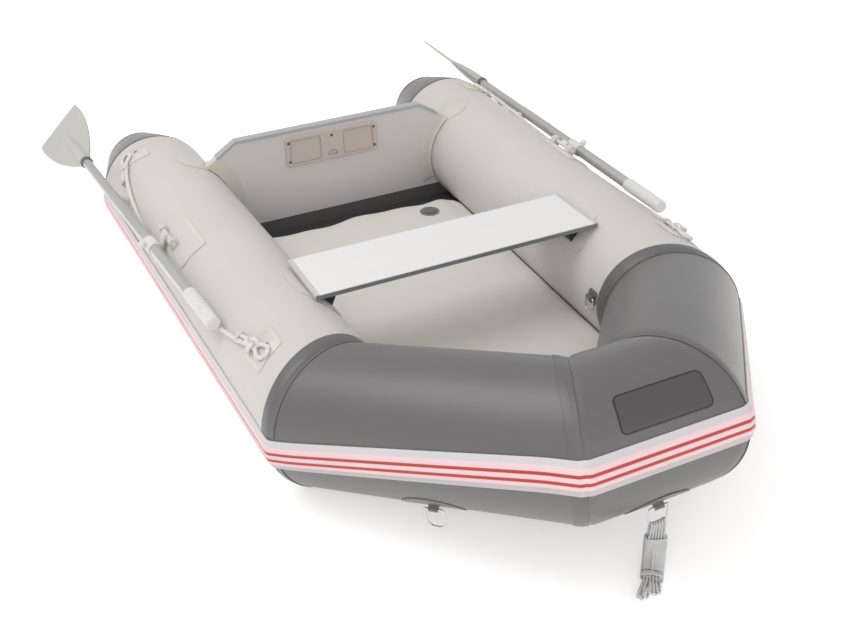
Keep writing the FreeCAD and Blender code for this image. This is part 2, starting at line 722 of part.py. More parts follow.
def oar_parts():
    """One oar in its own axes: handle tube, tail tube, grip, ferrule, blade, collar and button."""
    pin_hole = Part.makeCylinder(lock_pin_radius + running_gap, 4 * collar_radius, V(0, 0, -2 * collar_radius))
    handle = pipe_along_y(handle_tube_radius, handle_tube_radius - oar_tube_wall,
                          -grip_start - grip_length + 8, handle_tube_aft)
    handle = handle.cut(pin_hole)
    button_hole = Part.makeCylinder(button_radius + running_gap, 30, V(0, button_at, 0))
    handle = handle.cut(button_hole)
    tail = pipe_along_y(tail_tube_radius, tail_tube_radius - oar_tube_wall, tail_tube_fore, ferrule_at + 40)
    tail = tail.cut(button_hole)
    collar = pipe_along_y(collar_radius, handle_tube_radius + 0.1, -collar_length / 2, collar_length / 2)
    collar = collar.makeFillet(2.0, [edge for edge in collar.Edges if edge.Curve.TypeId == "Part::GeomCircle"
                                     and edge.Curve.Radius > collar_radius - 0.1])
    collar = collar.cut(pin_hole)
    grip = pipe_along_y(grip_radius, handle_tube_radius + 0.1, -grip_start - grip_length + 8, -grip_start)
    end = Part.makeCylinder(grip_radius, 8, V(0, -grip_start - grip_length, 0), V(0, 1, 0))
    end = end.makeFillet(5, [edge for edge in end.Edges if edge.BoundBox.YMax < -grip_start - grip_length + 1
                             and edge.Curve.TypeId == "Part::GeomCircle"])
    grip = joined([grip, end])
    ferrule = pipe_along_y(ferrule_radius, tail_tube_radius + 0.1, ferrule_at - ferrule_length / 2,
                           ferrule_at + ferrule_length / 2)
    button = Part.makeCylinder(button_radius, 9, V(0, button_at, handle_tube_radius + 3.5 - 9))
    button = button.makeFillet(1.5, [edge for edge in button.Edges
                                     if edge.BoundBox.ZMin > handle_tube_radius + 3])
    return {"handle_tube": handle, "tail_tube": tail, "collar": collar, "grip": grip, "ferrule": ferrule,
            "blade": oar_blade(), "button": button}


def oar_blade():
    """Moulded spade blade with a socket that tapers into a long spine."""
    start = ferrule_at + ferrule_length / 2
    end = ferrule_at + blade_length
    half = blade_width / 2
    root = ferrule_radius - 1

    def edge(side):
        curve = Part.BSplineCurve()
        curve.interpolate([V(side * root, start, 0), V(side * half * 0.68, start + blade_length * 0.31, 0),
                           V(side * half * 0.95, start + blade_length * 0.62, 0),
                           V(side * half, end - blade_corner, 0)])
        return curve.toShape()

    corners = [Part.Arc(V(side * half, end - blade_corner, 0),
                        V(side * (half - blade_corner * 0.25), end - blade_corner * 0.3, 0),
                        V(side * (half - blade_corner), end - 2, 0)).toShape() for side in (1, -1)]
    tip = Part.Arc(V(half - blade_corner, end - 2, 0), V(0, end, 0), V(blade_corner - half, end - 2, 0)).toShape()
    foot = Part.LineSegment(V(-root, start, 0), V(root, start, 0)).toShape()
    wire = Part.Wire(Part.__sortEdges__([edge(1), corners[0], tip, corners[1], edge(-1), foot]))
    plate = Part.Face(wire).extrude(V(0, 0, blade_thickness))
    plate.translate(V(0, 0, -blade_thickness / 2))
    profile = Part.BSplineCurve()
    profile.interpolate([V(root, start, 0), V(root * 0.97, start + spine_length * 0.3, 0),
                         V(root * 0.68, start + spine_length * 0.66, 0), V(spine_tip, start + spine_length, 0)])
    half_spine = Part.Wire([profile.toShape(),
                            Part.LineSegment(V(spine_tip, start + spine_length, 0),
                                             V(0, start + spine_length, 0)).toShape(),
                            Part.LineSegment(V(0, start + spine_length, 0), V(0, start, 0)).toShape(),
                            Part.LineSegment(V(0, start, 0), V(root, start, 0)).toShape()])
    spine = Part.Face(half_spine).revolve(V(0, 0, 0), V(0, 1, 0), 360)
    blade = joined([plate, spine])
    blade = blade.cut(Part.makeCylinder(tail_tube_radius + 0.1, ferrule_at + 40 - start + 0.3,
                                        V(0, start - 0.1, 0), V(0, 1, 0)))
    blade.rotate(V(0, 0, 0), V(0, 1, 0), blade_roll)
    return blade


def lock_bar_centre():
    """Middle of the oarlock's cross bar, level with the pin along the tube."""
    return side_run.frame(side_distance(oar_pin_y), lock_bar_angle, lock_bar_height)


def oarlock_parts():
    """T-shaped lock: cross bar that rocks in two lugs, arm, pin through the oar and its knob."""
    bar_frame = lock_bar_centre()
    axes = oar_frame()
    bar = Part.makeCylinder(lock_bar_radius, lock_bar_length, V(0, -lock_bar_length / 2, 0), V(0, 1, 0))
    bar = moved(bar, bar_frame)
    seat = collar_radius + 0.4
    to_bar = axes.inverse().multVec(bar_frame.Base)
    plate = Part.makeBox(abs(to_bar.x) + lock_arm_width / 2, lock_arm_width, lock_arm_thickness,
                         V(to_bar.x, -lock_arm_width / 2, -seat - lock_arm_thickness))
    plate = plate.makeFillet(lock_arm_width / 2 - 0.5, [
        edge for edge in plate.Edges if edge.BoundBox.ZLength > lock_arm_thickness - 0.1
        and edge.BoundBox.XLength < 0.1 and edge.BoundBox.XMin > 0])
    foot = Part.makeBox(lock_bar_radius * 2, lock_arm_width, abs(to_bar.z) - seat,
                        V(to_bar.x - lock_bar_radius, -lock_arm_width / 2, to_bar.z))
    pin = Part.makeCylinder(lock_pin_radius, 2 * seat + lock_arm_thickness + 6, V(0, 0, -seat - lock_arm_thickness))
    tee = joined([bar] + [moved(shape, axes) for shape in (plate, foot, pin)])
    ball = Part.makeSphere(knob_radius, V(0, 0, seat + 0.3 + knob_radius * 0.8))
    ball = ball.cut(half_space(V(0, 0, seat + 0.3), V(0, 0, -1)))
    knob = ball.cut(Part.makeCylinder(lock_pin_radius + 0.02, 6.2, V(0, 0, seat)))
    return tee, moved(knob, axes)


def lock_bases():
    """Glued oarlock bases: a pad with two bored lugs for the cross bar."""
    bar_frame = lock_bar_centre()
    distance = (bar_frame.Base - side_run.start).dot(side_run.along)
    pad = side_run.pad(rounded_outline(lock_patch_outline, 14), distance, lock_patch_angle,
                       lock_patch_thickness)
    lugs = []
    for side in (-1, 1):
        y = side * (lock_bar_length / 2 - lock_lug_length / 2 - 4)
        lug = Part.makeCylinder(lock_lug_radius, lock_lug_length, V(0, y - lock_lug_length / 2, 0), V(0, 1, 0))
        web = Part.makeBox(2 * lock_lug_radius, lock_lug_length, lock_bar_height,
                           V(-lock_lug_radius, y - lock_lug_length / 2, -lock_bar_height - 1))
        lugs += [moved(lug, bar_frame), moved(web, bar_frame)]
    base = joined([pad] + lugs)
    base = base.cut(side_run.rod(tube_radius + glue_line, 10))
    bore = Part.makeCylinder(lock_bar_radius + running_gap, lock_bar_length + 20,
                             V(0, -lock_bar_length / 2 - 10, 0), V(0, 1, 0))
    base = largest(base.cut(moved(bore, bar_frame)))
    return Part.makeCompound([base, mirrored(base)])


def oar_cradles():
    """Small moulded rests with a flat seat under the stowed oar shafts."""
    axes = oar_frame()
    point = axes.multVec(V(0, cradle_at, 0))
    offset = point - side_run.start
    distance = offset.dot(side_run.along)
    angle = side_run.angle_of(point)
    height = (offset - side_run.along * distance).Length - tube_radius
    pad = side_run.pad(rounded_rectangle(46, 60, 10), distance, angle, patch_thickness)
    post = moved(Part.makeBox(30, 22, height + 2, V(-15, -11, -1)), side_run.frame(distance, angle))
    rest = joined([pad, post]).cut(side_run.rod(tube_radius + glue_line, 10))
    seat = moved(half_space(V(0, 0, -handle_tube_radius - cradle_gap), V(0, 0, 1)), axes)
    rest = largest(rest.cut(seat))
    return Part.makeCompound([rest, mirrored(rest)])


def eyelet_pads(y, angle, outline):
    """Glued pads of both sides, each with two raised rope eyelets."""
    pad = side_run.pad(rounded_outline(outline, 12), side_distance(y), angle, patch_thickness)
    frame = side_run.frame(side_distance(y), angle, glue_line + patch_thickness - 0.4)
    places = [V(side * eyelet_spread, 0, 0) for side in (-1, 1)]
    pad = joined([pad] + [moved(Part.makeCylinder(eyelet_outer, 2.2, place), frame) for place in places])
    for place in places:
        pad = pad.cut(moved(Part.makeCylinder(eyelet_inner, 20, place - V(0, 0, 10)), frame))
    return Part.makeCompound([pad, mirrored(pad)])


def route_tube(points, radius):
    """A tube along straight runs joined by tangent arcs as large as the runs allow."""
    edges = []
    here = points[0]
    radii = []
    for index in range(1, len(points) - 1):
        corner = points[index]
        back, ahead = points[index - 1] - corner, points[index + 1] - corner
        turn = math.pi - back.getAngle(ahead)
        run = min(back.Length, ahead.Length)
        reach = 0.45 * run
        bend = reach / math.tan(turn / 2)
        radii.append(bend)
        start = corner + unit(back) * reach
        end = corner + unit(ahead) * reach
        middle = corner + unit(unit(back) + unit(ahead)) * (bend / math.cos(turn / 2) - bend)
        edges.append(Part.LineSegment(here, start).toShape())
        edges.append(Part.Arc(start, middle, end).toShape())
        here = end
    edges.append(Part.LineSegment(here, points[-1]).toShape())
    path = Part.Wire(edges)
    section = Part.Wire(Part.Circle(points[0], unit(points[1] - points[0]), radius).toShape())
    tube = path.makePipeShell([section], True, False)
    wanted = math.pi * radius ** 2 * path.Length
    print("rope: length", round(path.Length), "volume share", round(tube.Volume / wanted, 4),
          "tightest arc", round(min(radii)))
    return tube


def grab_rope():
    """Grab rope along the side tube, from the bow eyelets under the oarlock to the stern eyelets."""
    route = [(-362, 40.0), (-322, 43.5), (-262, 49.0), (-197, 53.5), (-127, 57.0), (-47, 59.5), (33, 61.5),
             (113, 63.0), (193, 63.8), (273, 63.9), (353, 63.2), (433, 61.5), (503, 59.0), (573, 56.0),
             (633, 52.5), (693, 48.0), (748, 42.5), (793, 36.5)]
    points = []
    for y, angle in route:
        frame = side_run.frame(side_distance(y), angle, glue_line + patch_thickness + rope_lift + rope_radius)
        points.append(frame.Base)
    return route_tube(points, rope_radius)


def ring_parts(run, distance, angle, outline):
    """Glued towing patch with a sleeve, and the place of the bar that turns in it."""
    frame = run.frame(distance, angle)
    pad = run.pad(outline, distance, angle, patch_thickness)
    sleeve = Part.makeCylinder(sleeve_radius, sleeve_length, V(0, -sleeve_length / 2, sleeve_height), V(0, 1, 0))
    web = Part.makeBox(2 * sleeve_radius, sleeve_length, sleeve_height, V(-sleeve_radius, -sleeve_length / 2, 0.5))
    base = joined([pad, moved(sleeve, frame), moved(web, frame)])
    base = base.cut(run.rod(tube_radius + glue_line, 10))
    bore = Part.makeCylinder(ring_wire + running_gap, sleeve_length + 10,
                             V(0, -sleeve_length / 2 - 5, sleeve_height), V(0, 1, 0))
    base = largest(base.cut(moved(bore, frame)))
    return base, frame.multVec(V(0, 0, sleeve_height))


def d_ring(pivot, along, hang, bar, drop, bend):
    """D-ring at its pivot: straight bar along the axis, loop hanging along hang."""
    side = bar / 2
    outline = rounded_outline([(-side, 0), (side, 0), (side, drop), (-side, drop)],
                              [ring_shoulder, ring_shoulder, bend, bend])
    frame = FreeCAD.Placement(pivot, FreeCAD.Rotation(along, hang, along.cross(hang), "XYZ"))
    path = moved(outline, frame)
    start = path.OrderedEdges[1]
    point = start.valueAt(start.FirstParameter)
    tangent = start.tangentAt(start.FirstParameter)
    section = Part.Wire(Part.Circle(point, tangent, ring_wire).toShape())
    wire = Part.Wire(Part.__sortEdges__(path.Edges))
    return wire.makePipeShell([section], True, False)


def towing_gear():
    """Ring patches, the three towing rings, the small ring inside the bow and the hanked tow rope."""
    oval = ellipse_outline(tow_patch_length, tow_patch_width)
    small = rounded_rectangle(inner_patch, inner_patch, inner_patch / 5)
    side_base, side_pivot = ring_parts(quarter_run, side_ring_at, side_ring_angle, oval)
    nose_base, nose_pivot = ring_parts(nose_run, nose_run.length / 2 + nose_ring_offset, nose_ring_angle, oval)
    inner_base, inner_pivot = ring_parts(side_run, side_distance(inner_ring_y), inner_ring_angle, small)
    down = V(0, 0, -1)
    side_axis = quarter_run.along
    side_hang = unit(down - side_axis * down.dot(side_axis))
    rings = {
        "tow_ring_right": d_ring(side_pivot, side_axis, side_hang, ring_bar, ring_drop, ring_bend),
        "tow_ring_nose": d_ring(nose_pivot, V(1, 0, 0), down, ring_bar, ring_drop, ring_bend),
        "inner_ring": d_ring(inner_pivot, side_run.along, down, inner_ring_bar, inner_ring_drop, inner_ring_bend),
    }
    rings["tow_ring_left"] = mirrored(rings["tow_ring_right"])
    bases = Part.makeCompound([side_base, mirrored(side_base), nose_base, inner_base])
    print("side ring", [round(value, 2) for value in side_pivot], "axis", [round(value, 6) for value in side_axis])
    print("nose ring", [round(value, 2) for value in nose_pivot], "axis [1, 0, 0]")
    print("inner ring", [round(value, 2) for value in inner_pivot], "axis",
          [round(value, 6) for value in side_run.along])
    return bases, rings, tow_hank(nose_pivot)


def tow_hank(pivot):
    """Outer shape of the hanked rope: a flat bundle that hangs, bends and lies on the ground."""
    top = pivot + V(0, 0, -ring_drop - ring_wire - 0.3)
    ground = hank_depth / 2 + 0.5
    lay = unit(V(-0.63, -0.78, 0))
    bend = 34.0
    corner = V(top.x, top.y, ground)
    down_end = V(top.x, top.y, ground + bend)
    flat_start = corner + lay * bend
    flat_end = corner + lay * hank_flat_length
    diagonal = corner + (unit(lay + V(0, 0, 1))) * (bend * (math.sqrt(2) - 1))
    path = Part.Wire([
        Part.LineSegment(top, down_end).toShape(),
        Part.Arc(down_end, diagonal, flat_start).toShape(),
        Part.LineSegment(flat_start, flat_end).toShape(),
    ])
    across = lay.cross(V(0, 0, 1))
    section = rounded_rectangle(hank_width, hank_depth, hank_depth / 2 - 1)
    section = moved(section, FreeCAD.Placement(top, FreeCAD.Rotation(across, lay, V(0, 0, 1), "ZXY")))
    return path.makePipeShell([section], True, False)


def report_frames():
    """Joint places and axes, for whoever writes them down."""
    axes = oar_frame()
    print("oar pin", [round(value, 2) for value in axes.Base], "axis",
          [round(value, 5) for value in axes.Rotation.multVec(V(0, 0, 1))])
    bar = lock_bar_centre()
    print("lock bar", [round(value, 2) for value in bar.Base], "axis",
          [round(value, 5) for value in side_run.along])
    for name, frame in tube_valve_frames().items():
        print("valve", name, [round(value, 2) for value in frame.Base],
              [round(value, 5) for value in frame.Rotation.multVec(V(0, 0, 1))])
    print("floor top", floor_top)


def build():
    """Every node of the dinghy by name."""
    nodes = {}
    valve_bodies, valve_caps, (side, quarter, bored_quarter, nose) = add_valves(tube_skins())
    strake = strake_parts()
    board, trim, sill, flanges = transom_parts()
    pad_inner, pad_outer, pad_screws, pad_holes = motor_pads()
    for hole in pad_holes:
        board = board.cut(hole)
    plank, plank_caps, blocks, block_patches = thwart_parts()
    cone = stern_cone()
    tee, knob = oarlock_parts()
    ring_bases, rings, hank = towing_gear()
    rope = grab_rope()
    oar = {name: moved(shape, oar_frame()) for name, shape in oar_parts().items()}
    floor_body, floor_cap = valve_parts()
    valve_seat = FreeCAD.Placement(V(valve_x, valve_y, floor_top), FreeCAD.Rotation())
    nodes["side_tube_right"] = side
    nodes["bow_tube_right"] = quarter
    nodes["stern_cone_right"] = cone
    nodes["oarlock_tee_right"] = tee
    nodes["oarlock_knob_right"] = knob
    nodes["grab_rope_right"] = rope
    for name, shape in oar.items():
        nodes["oar_" + name + "_right"] = shape
    for name in list(nodes):
        nodes[name.replace("_right", "_left")] = mirrored(nodes[name])
    nodes["bow_tube_left"] = bored_quarter
    nodes["bow_tube_front"] = nose
    nodes["chamber_baffles"] = chamber_baffles()
    bands = weld_bands()
    nodes["weld_bands"] = bands
    nodes["rub_strake"] = Part.makeCompound(strake)
    nodes["hull_bottom"] = hull_bottom(bands)
    nodes["air_floor"] = air_floor()
    nodes["floor_valve_body"] = moved(floor_body, valve_seat)
    nodes["floor_valve_cap"] = moved(floor_cap, valve_seat)
    nodes["tube_valve_bodies"] = Part.makeCompound(valve_bodies)
    for name, cap in valve_caps.items():
        nodes["tube_valve_cap_" + name] = cap
    nodes["transom_board"] = board
    nodes["transom_trim"] = trim
    nodes["transom_sill"] = sill
    nodes["transom_flanges"] = flanges
    nodes["motor_pad_inner"] = pad_inner
    nodes["motor_pad_outer"] = pad_outer
    nodes["motor_pad_screws"] = pad_screws
    nodes["thwart_board"] = plank
    nodes["thwart_end_caps"] = plank_caps
    nodes["thwart_supports"] = blocks
    nodes["thwart_patches"] = block_patches
    nodes["oarlock_bases"] = lock_bases()
    nodes["oar_cradles"] = oar_cradles()
    nodes["rope_pads_bow"] = eyelet_pads(bow_patch_y, bow_patch_angle, bow_patch_outline)
    nodes["rope_pads_stern"] = eyelet_pads(stern_patch_y, stern_patch_angle, stern_patch_outline)
    nodes["tow_ring_patches"] = ring_bases
    nodes.update(rings)
    nodes["tow_rope_hank"] = hank
    return nodes


os.makedirs("parts", exist_ok=True)
report_frames()
for name, shape in build().items():
    solids = [solid for solid in shape.Solids]
    bad = [index for index, solid in enumerate(solids) if not solid.isValid() or solid.Volume < 1]
    flat = solids[0] if len(solids) == 1 else Part.makeCompound(solids)
    flat.exportStep("parts/" + name + ".step")
    print(name, len(solids), "solids", round(sum(solid.Volume for solid in solids) / 1000, 1), "cm3",
          "BAD" if bad or not solids else "")
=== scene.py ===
import bpy
import bmesh
import math
from mathutils import Matrix, Vector, noise


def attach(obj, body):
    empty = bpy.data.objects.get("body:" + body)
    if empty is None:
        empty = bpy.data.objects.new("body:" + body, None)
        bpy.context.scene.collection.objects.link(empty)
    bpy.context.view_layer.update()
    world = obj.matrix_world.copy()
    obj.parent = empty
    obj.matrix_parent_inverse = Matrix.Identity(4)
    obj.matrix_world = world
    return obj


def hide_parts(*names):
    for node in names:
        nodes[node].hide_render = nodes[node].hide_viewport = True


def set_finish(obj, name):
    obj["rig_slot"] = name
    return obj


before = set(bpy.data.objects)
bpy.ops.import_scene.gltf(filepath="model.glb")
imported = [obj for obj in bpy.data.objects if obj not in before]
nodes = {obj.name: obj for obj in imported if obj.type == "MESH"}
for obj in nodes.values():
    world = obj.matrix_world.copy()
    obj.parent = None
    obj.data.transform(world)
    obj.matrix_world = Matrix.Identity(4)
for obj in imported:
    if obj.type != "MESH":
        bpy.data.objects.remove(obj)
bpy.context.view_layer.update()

up = Vector((0, 0, 1))


# helpers that the pieces share

def linear(red, green, blue):
    # a colour as seen on screen, turned to what the shader wants
    values = [channel / 255 for channel in (red, green, blue)]
    return [v / 12.92 if v < 0.04045 else ((v + 0.055) / 1.055) ** 2.4 for v in values] + [1.0]


def makeRun(start, end):
    start, end = Vector(start), Vector(end)
    along = (end - start).normalized()
    out = along.cross(up).normalized()
    return {"start": start, "end": end, "along": along, "out": out, "up": out.cross(along),
            "length": (end - start).length}


def runNormal(run, angle):
    turn = math.radians(angle)      # from the top of the tube towards outboard
    return run["up"] * math.cos(turn) + run["out"] * math.sin(turn)


def skinPoint(run, distance, angle, height=0.0):
    return run["start"] + run["along"] * distance + runNormal(run, angle) * (hull["radius"] + height)


def runMatrix(run):
    matrix = Matrix((run["up"], run["out"], run["along"])).transposed().to_4x4()
    matrix.translation = run["start"]
    return matrix


def offAxis(run, point):
    # the part of the way from the run's line to a point that is square to the run
    offset = point - run["start"]
    return offset - run["along"] * offset.dot(run["along"])


def turnAbout(run, offset):
    return math.atan2(offset.dot(run["out"]), offset.dot(run["up"]))


def distanceAtY(y):
    return (y - sideRun["start"].y) / sideRun["along"].y


def finishPiece(bm, name, material, body="hull", slot=None, replaces=(), smooth=True):
    mesh = bpy.data.meshes.new(name)
    bm.to_mesh(mesh)
    bm.free()
    piece = bpy.data.objects.new(name, mesh)
    bpy.context.scene.collection.objects.link(piece)
    for polygon in mesh.polygons:
        polygon.use_smooth = smooth
    mesh.materials.append(material)
    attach(piece, body)
    if slot:
        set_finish(piece, slot)
    if replaces:
        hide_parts(*replaces)
    return piece


def mirrorPiece(piece, name, body="hull", replaces=()):
    # the other side's copy, with its faces turned to point out again
    bm = bmesh.new()
    bm.from_mesh(piece.data)
    bmesh.ops.scale(bm, vec=(-1, 1, 1), verts=bm.verts)
    bmesh.ops.reverse_faces(bm, faces=bm.faces)
    copy = finishPiece(bm, name, piece.data.materials[0], body, piece.get("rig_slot"), replaces,
                       piece.data.polygons[0].use_smooth)
    for wall in piece.modifiers:
        solidify(copy, wall.thickness)
    return copy


def solidify(piece, thickness):
    # a wall that grows inward from the outer face
    wall = piece.modifiers.new("wall", "SOLIDIFY")
    wall.thickness, wall.offset, wall.use_even_offset = thickness, -1.0, True
    return piece


def sharpen(piece, angle=40):
    piece.data.set_sharp_from_angle(angle=math.radians(angle))
    return piece


def sliceMesh(bm, point, normal, near=0.00002, clear=False):
    # the plane's line scored into the mesh, and what lies past it taken off where asked
    bmesh.ops.bisect_plane(bm, geom=everything(bm), dist=near, plane_co=point, plane_no=normal,
                           clear_outer=clear)


def cutAway(bm, point, normal, steps=()):
    # everything past the plane goes, with finer rings left near the cut
    for step in steps:
        sliceMesh(bm, point - normal * step, normal, 0.00005)
    sliceMesh(bm, point, normal, 0.00005, True)


def onlyVerts(geometry):
    return [item for item in geometry if isinstance(item, bmesh.types.BMVert)]


def onlyEdges(geometry):
    return [item for item in geometry if isinstance(item, bmesh.types.BMEdge)]


def onlyFaces(geometry):
    return [item for item in geometry if isinstance(item, bmesh.types.BMFace)]


def everything(bm):
    return bm.verts[:] + bm.edges[:] + bm.faces[:]


def insetFaces(bm, faces, amount):
    # the faces drawn in from their own rim
    bmesh.ops.inset_region(bm, faces=faces, thickness=amount, use_even_offset=True, use_boundary=True)


def faceUp(bm, faces):
    bm.normal_update()
    if faces[0].normal.z < 0:
        bmesh.ops.reverse_faces(bm, faces=faces)


def mapPlan(bm):
    # a map in metres, seen from above
    layer = bm.loops.layers.uv.verify()
    for face in bm.faces:
        for loop in face.loops:
            loop[layer].uv = (loop.vert.co.x, loop.vert.co.y)


# centre lines of the tubes and the planes of their joints

hull = {"radius": 0.166, "segments": 120, "step": 0.016, "wall": 0.0018, "sag": 0.0008, "sagPace": 7.0,
        "sideBow": (0.467, -0.501, 0.166), "sideStern": (0.516, 0.897, 0.166),
        "noseRight": (0.107, -0.959, 0.281), "noseLeft": (-0.107, -0.959, 0.281)}
sideRun = makeRun(hull["sideBow"], hull["sideStern"])
quarterRun = makeRun(hull["noseRight"], hull["sideBow"])
noseRun = makeRun(hull["noseLeft"], hull["noseRight"])
bowJoint = (sideRun["start"], (sideRun["along"] + quarterRun["along"]).normalized())
noseJoint = (noseRun["end"], (quarterRun["along"] + noseRun["along"]).normalized())
noseJointLeft = (noseRun["start"], Vector((-noseJoint[1].x, noseJoint[1].y, noseJoint[1].z)))
sternJoint = (sideRun["end"], sideRun["along"])


# materials

def newMaterial(name):
    material = bpy.data.materials.new(name)
    material.use_nodes = True
    tree = material.node_tree
    tree.nodes.clear()
    output = tree.nodes.new("ShaderNodeOutputMaterial")
    shader = tree.nodes.new("ShaderNodeBsdfPrincipled")
    tree.links.new(shader.outputs["BSDF"], output.inputs["Surface"])
    return material, tree, shader


def addNode(tree, kind, values=None, **settings):
    node = tree.nodes.new(kind)
    for key, value in settings.items():
        setattr(node, key, value)
    for key, value in (values or {}).items():
        node.inputs[key].default_value = value
    return node


def newGroup(name, inputs, outputs):
    group = bpy.data.node_groups.new(name, "ShaderNodeTree")
    for label, kind, value in inputs:
        socket = group.interface.new_socket(name=label, in_out="INPUT", socket_type=kind)
        if value is not None:
            socket.default_value = value
    for label, kind in outputs:
        group.interface.new_socket(name=label, in_out="OUTPUT", socket_type=kind)
    return group, group.nodes.new("NodeGroupInput"), group.nodes.new("NodeGroupOutput")


def makeMottle():
    # two sizes of soft stain over a colour, and a matching change of roughness
    group, given, result = newGroup(
        "mottle",
        [("Vector", "NodeSocketVector", None), ("Colour", "NodeSocketColor", (1, 1, 1, 1)),
         ("Amount", "NodeSocketFloat", 0.1), ("Scale", "NodeSocketFloat", 5.0),
         ("Roughness", "NodeSocketFloat", 0.5), ("Spread", "NodeSocketFloat", 0.1)],
        [("Colour", "NodeSocketColor"), ("Roughness", "NodeSocketFloat")])
    broad = addNode(group, "ShaderNodeTexNoise", {"Detail": 4.0, "Roughness": 0.6})
    fine = addNode(group, "ShaderNodeTexNoise", {"Scale": 90.0, "Detail": 3.0})
    mean = addNode(group, "ShaderNodeMath", {1: 0.35}, operation="MULTIPLY_ADD")
    shade = addNode(group, "ShaderNodeMapRange",
                    {"From Min": 0.45, "From Max": 0.9, "To Min": 0.0, "To Max": 1.0})
    darker = addNode(group, "ShaderNodeMix", data_type="RGBA", blend_type="MULTIPLY")
    factor = addNode(group, "ShaderNodeMath", operation="MULTIPLY")
    rough = addNode(group, "ShaderNodeMath", operation="MULTIPLY_ADD")
    link = group.links.new
    link(given.outputs["Vector"], broad.inputs["Vector"])
    link(given.outputs["Vector"], fine.inputs["Vector"])
    link(given.outputs["Scale"], broad.inputs["Scale"])
    link(fine.outputs["Fac"], mean.inputs[0])
    link(broad.outputs["Fac"], mean.inputs[2])
    link(mean.outputs[0], shade.inputs["Value"])
    link(shade.outputs["Result"], factor.inputs[0])
    link(given.outputs["Amount"], factor.inputs[1])
    link(factor.outputs[0], darker.inputs["Factor"])
    link(given.outputs["Colour"], darker.inputs["A"])
    darker.inputs["B"].default_value = (0.55, 0.52, 0.50, 1)
    link(darker.outputs["Result"], result.inputs["Colour"])
    link(shade.outputs["Result"], rough.inputs[0])
    link(given.outputs["Spread"], rough.inputs[1])
    link(given.outputs["Roughness"], rough.inputs[2])
    link(rough.outputs[0], result.inputs["Roughness"])
    return group


def makeWeave():
    # the cloth's threads, faintly telling through its coating, on a map in metres
    group, given, result = newGroup(
        "weave", [("Vector", "NodeSocketVector", None), ("Pitch", "NodeSocketFloat", 0.0012)],
        [("Height", "NodeSocketFloat")])
    split = addNode(group, "ShaderNodeSeparateXYZ")
    link = group.links.new
    link(given.outputs["Vector"], split.inputs[0])
    heights = []
    for axis in "XY":
        turns = addNode(group, "ShaderNodeMath", operation="DIVIDE")
        angle = addNode(group, "ShaderNodeMath", {1: math.tau}, operation="MULTIPLY")
        wave = addNode(group, "ShaderNodeMath", operation="SINE")
        link(split.outputs[axis], turns.inputs[0])
        link(given.outputs["Pitch"], turns.inputs[1])
        link(turns.outputs[0], angle.inputs[0])
        link(angle.outputs[0], wave.inputs[0])
        heights.append(wave)
    cross = addNode(group, "ShaderNodeMath", operation="MULTIPLY")
    link(heights[0].outputs[0], cross.inputs[0])
    link(heights[1].outputs[0], cross.inputs[1])
    link(cross.outputs[0], result.inputs["Height"])
    return group


def makeRipple():
    # slow unevenness of stretched or moulded stuff, as a height
    group, given, result = newGroup(
        "ripple", [("Vector", "NodeSocketVector", None), ("Scale", "NodeSocketFloat", 12.0)],
        [("Height", "NodeSocketFloat")])
    cloud = addNode(group, "ShaderNodeTexNoise", {"Detail": 5.0, "Roughness": 0.5, "Distortion": 0.4})
    group.links.new(given.outputs["Vector"], cloud.inputs["Vector"])
    group.links.new(given.outputs["Scale"], cloud.inputs["Scale"])
    group.links.new(cloud.outputs["Fac"], result.inputs["Height"])
    return group


mottle, weave, ripple = makeMottle(), makeWeave(), makeRipple()


def dressUp(name, colour, roughness, amount, spread, scale, bumps, stretch=(1, 1, 1), paint=None,
            **shaderValues):
    # a mottled surface with any number of bump layers: (kind, scale or pitch, depth in metres)
    material, tree, shader = newMaterial(name)
    place = addNode(tree, "ShaderNodeTexCoord")
    mapping = addNode(tree, "ShaderNodeMapping", {"Scale": stretch})
    tree.links.new(place.outputs["Object"], mapping.inputs["Vector"])
    stain = addNode(tree, "ShaderNodeGroup", node_tree=mottle)
    for key, value in {"Colour": linear(*colour), "Amount": amount, "Scale": scale, "Roughness": roughness,
                       "Spread": spread}.items():
        stain.inputs[key].default_value = value
    if paint:
        tree.links.new(paint(tree, place), stain.inputs["Colour"])
    tree.links.new(mapping.outputs["Vector"], stain.inputs["Vector"])
    tree.links.new(stain.outputs["Colour"], shader.inputs["Base Color"])
    tree.links.new(stain.outputs["Roughness"], shader.inputs["Roughness"])
    last = None
    for kind, size, depth in bumps:
        height = addNode(tree, "ShaderNodeGroup", node_tree=weave if kind == "weave" else ripple)
        height.inputs["Pitch" if kind == "weave" else "Scale"].default_value = size
        source = place.outputs["UV"] if kind == "weave" else mapping.outputs["Vector"]
        tree.links.new(source, height.inputs["Vector"])
        bump = addNode(tree, "ShaderNodeBump", {"Strength": 1.0, "Distance": depth})
        tree.links.new(height.outputs["Height"], bump.inputs["Height"])
        if last:
            tree.links.new(last.outputs["Normal"], bump.inputs["Normal"])
        last = bump
    if last:
        tree.links.new(last.outputs["Normal"], shader.inputs["Normal"])
    for key, value in shaderValues.items():
        shader.inputs[key.replace("_", " ")].default_value = value
    return material


def coatedCloth(name, colour, roughness, amount, **more):
    return dressUp(name, colour, roughness, amount, 0.10, 3.0,
                   [("weave", 0.0016, 0.00006), ("ripple", 14.0, 0.0010), ("ripple", 160.0, 0.00006)],
                   **more)


def moulded(name, colour, roughness, amount, spread, scale, grain, depth, **more):
    # an even stuff with one fine grain
    return dressUp(name, colour, roughness, amount, spread, scale, [("ripple", grain, depth)], **more)


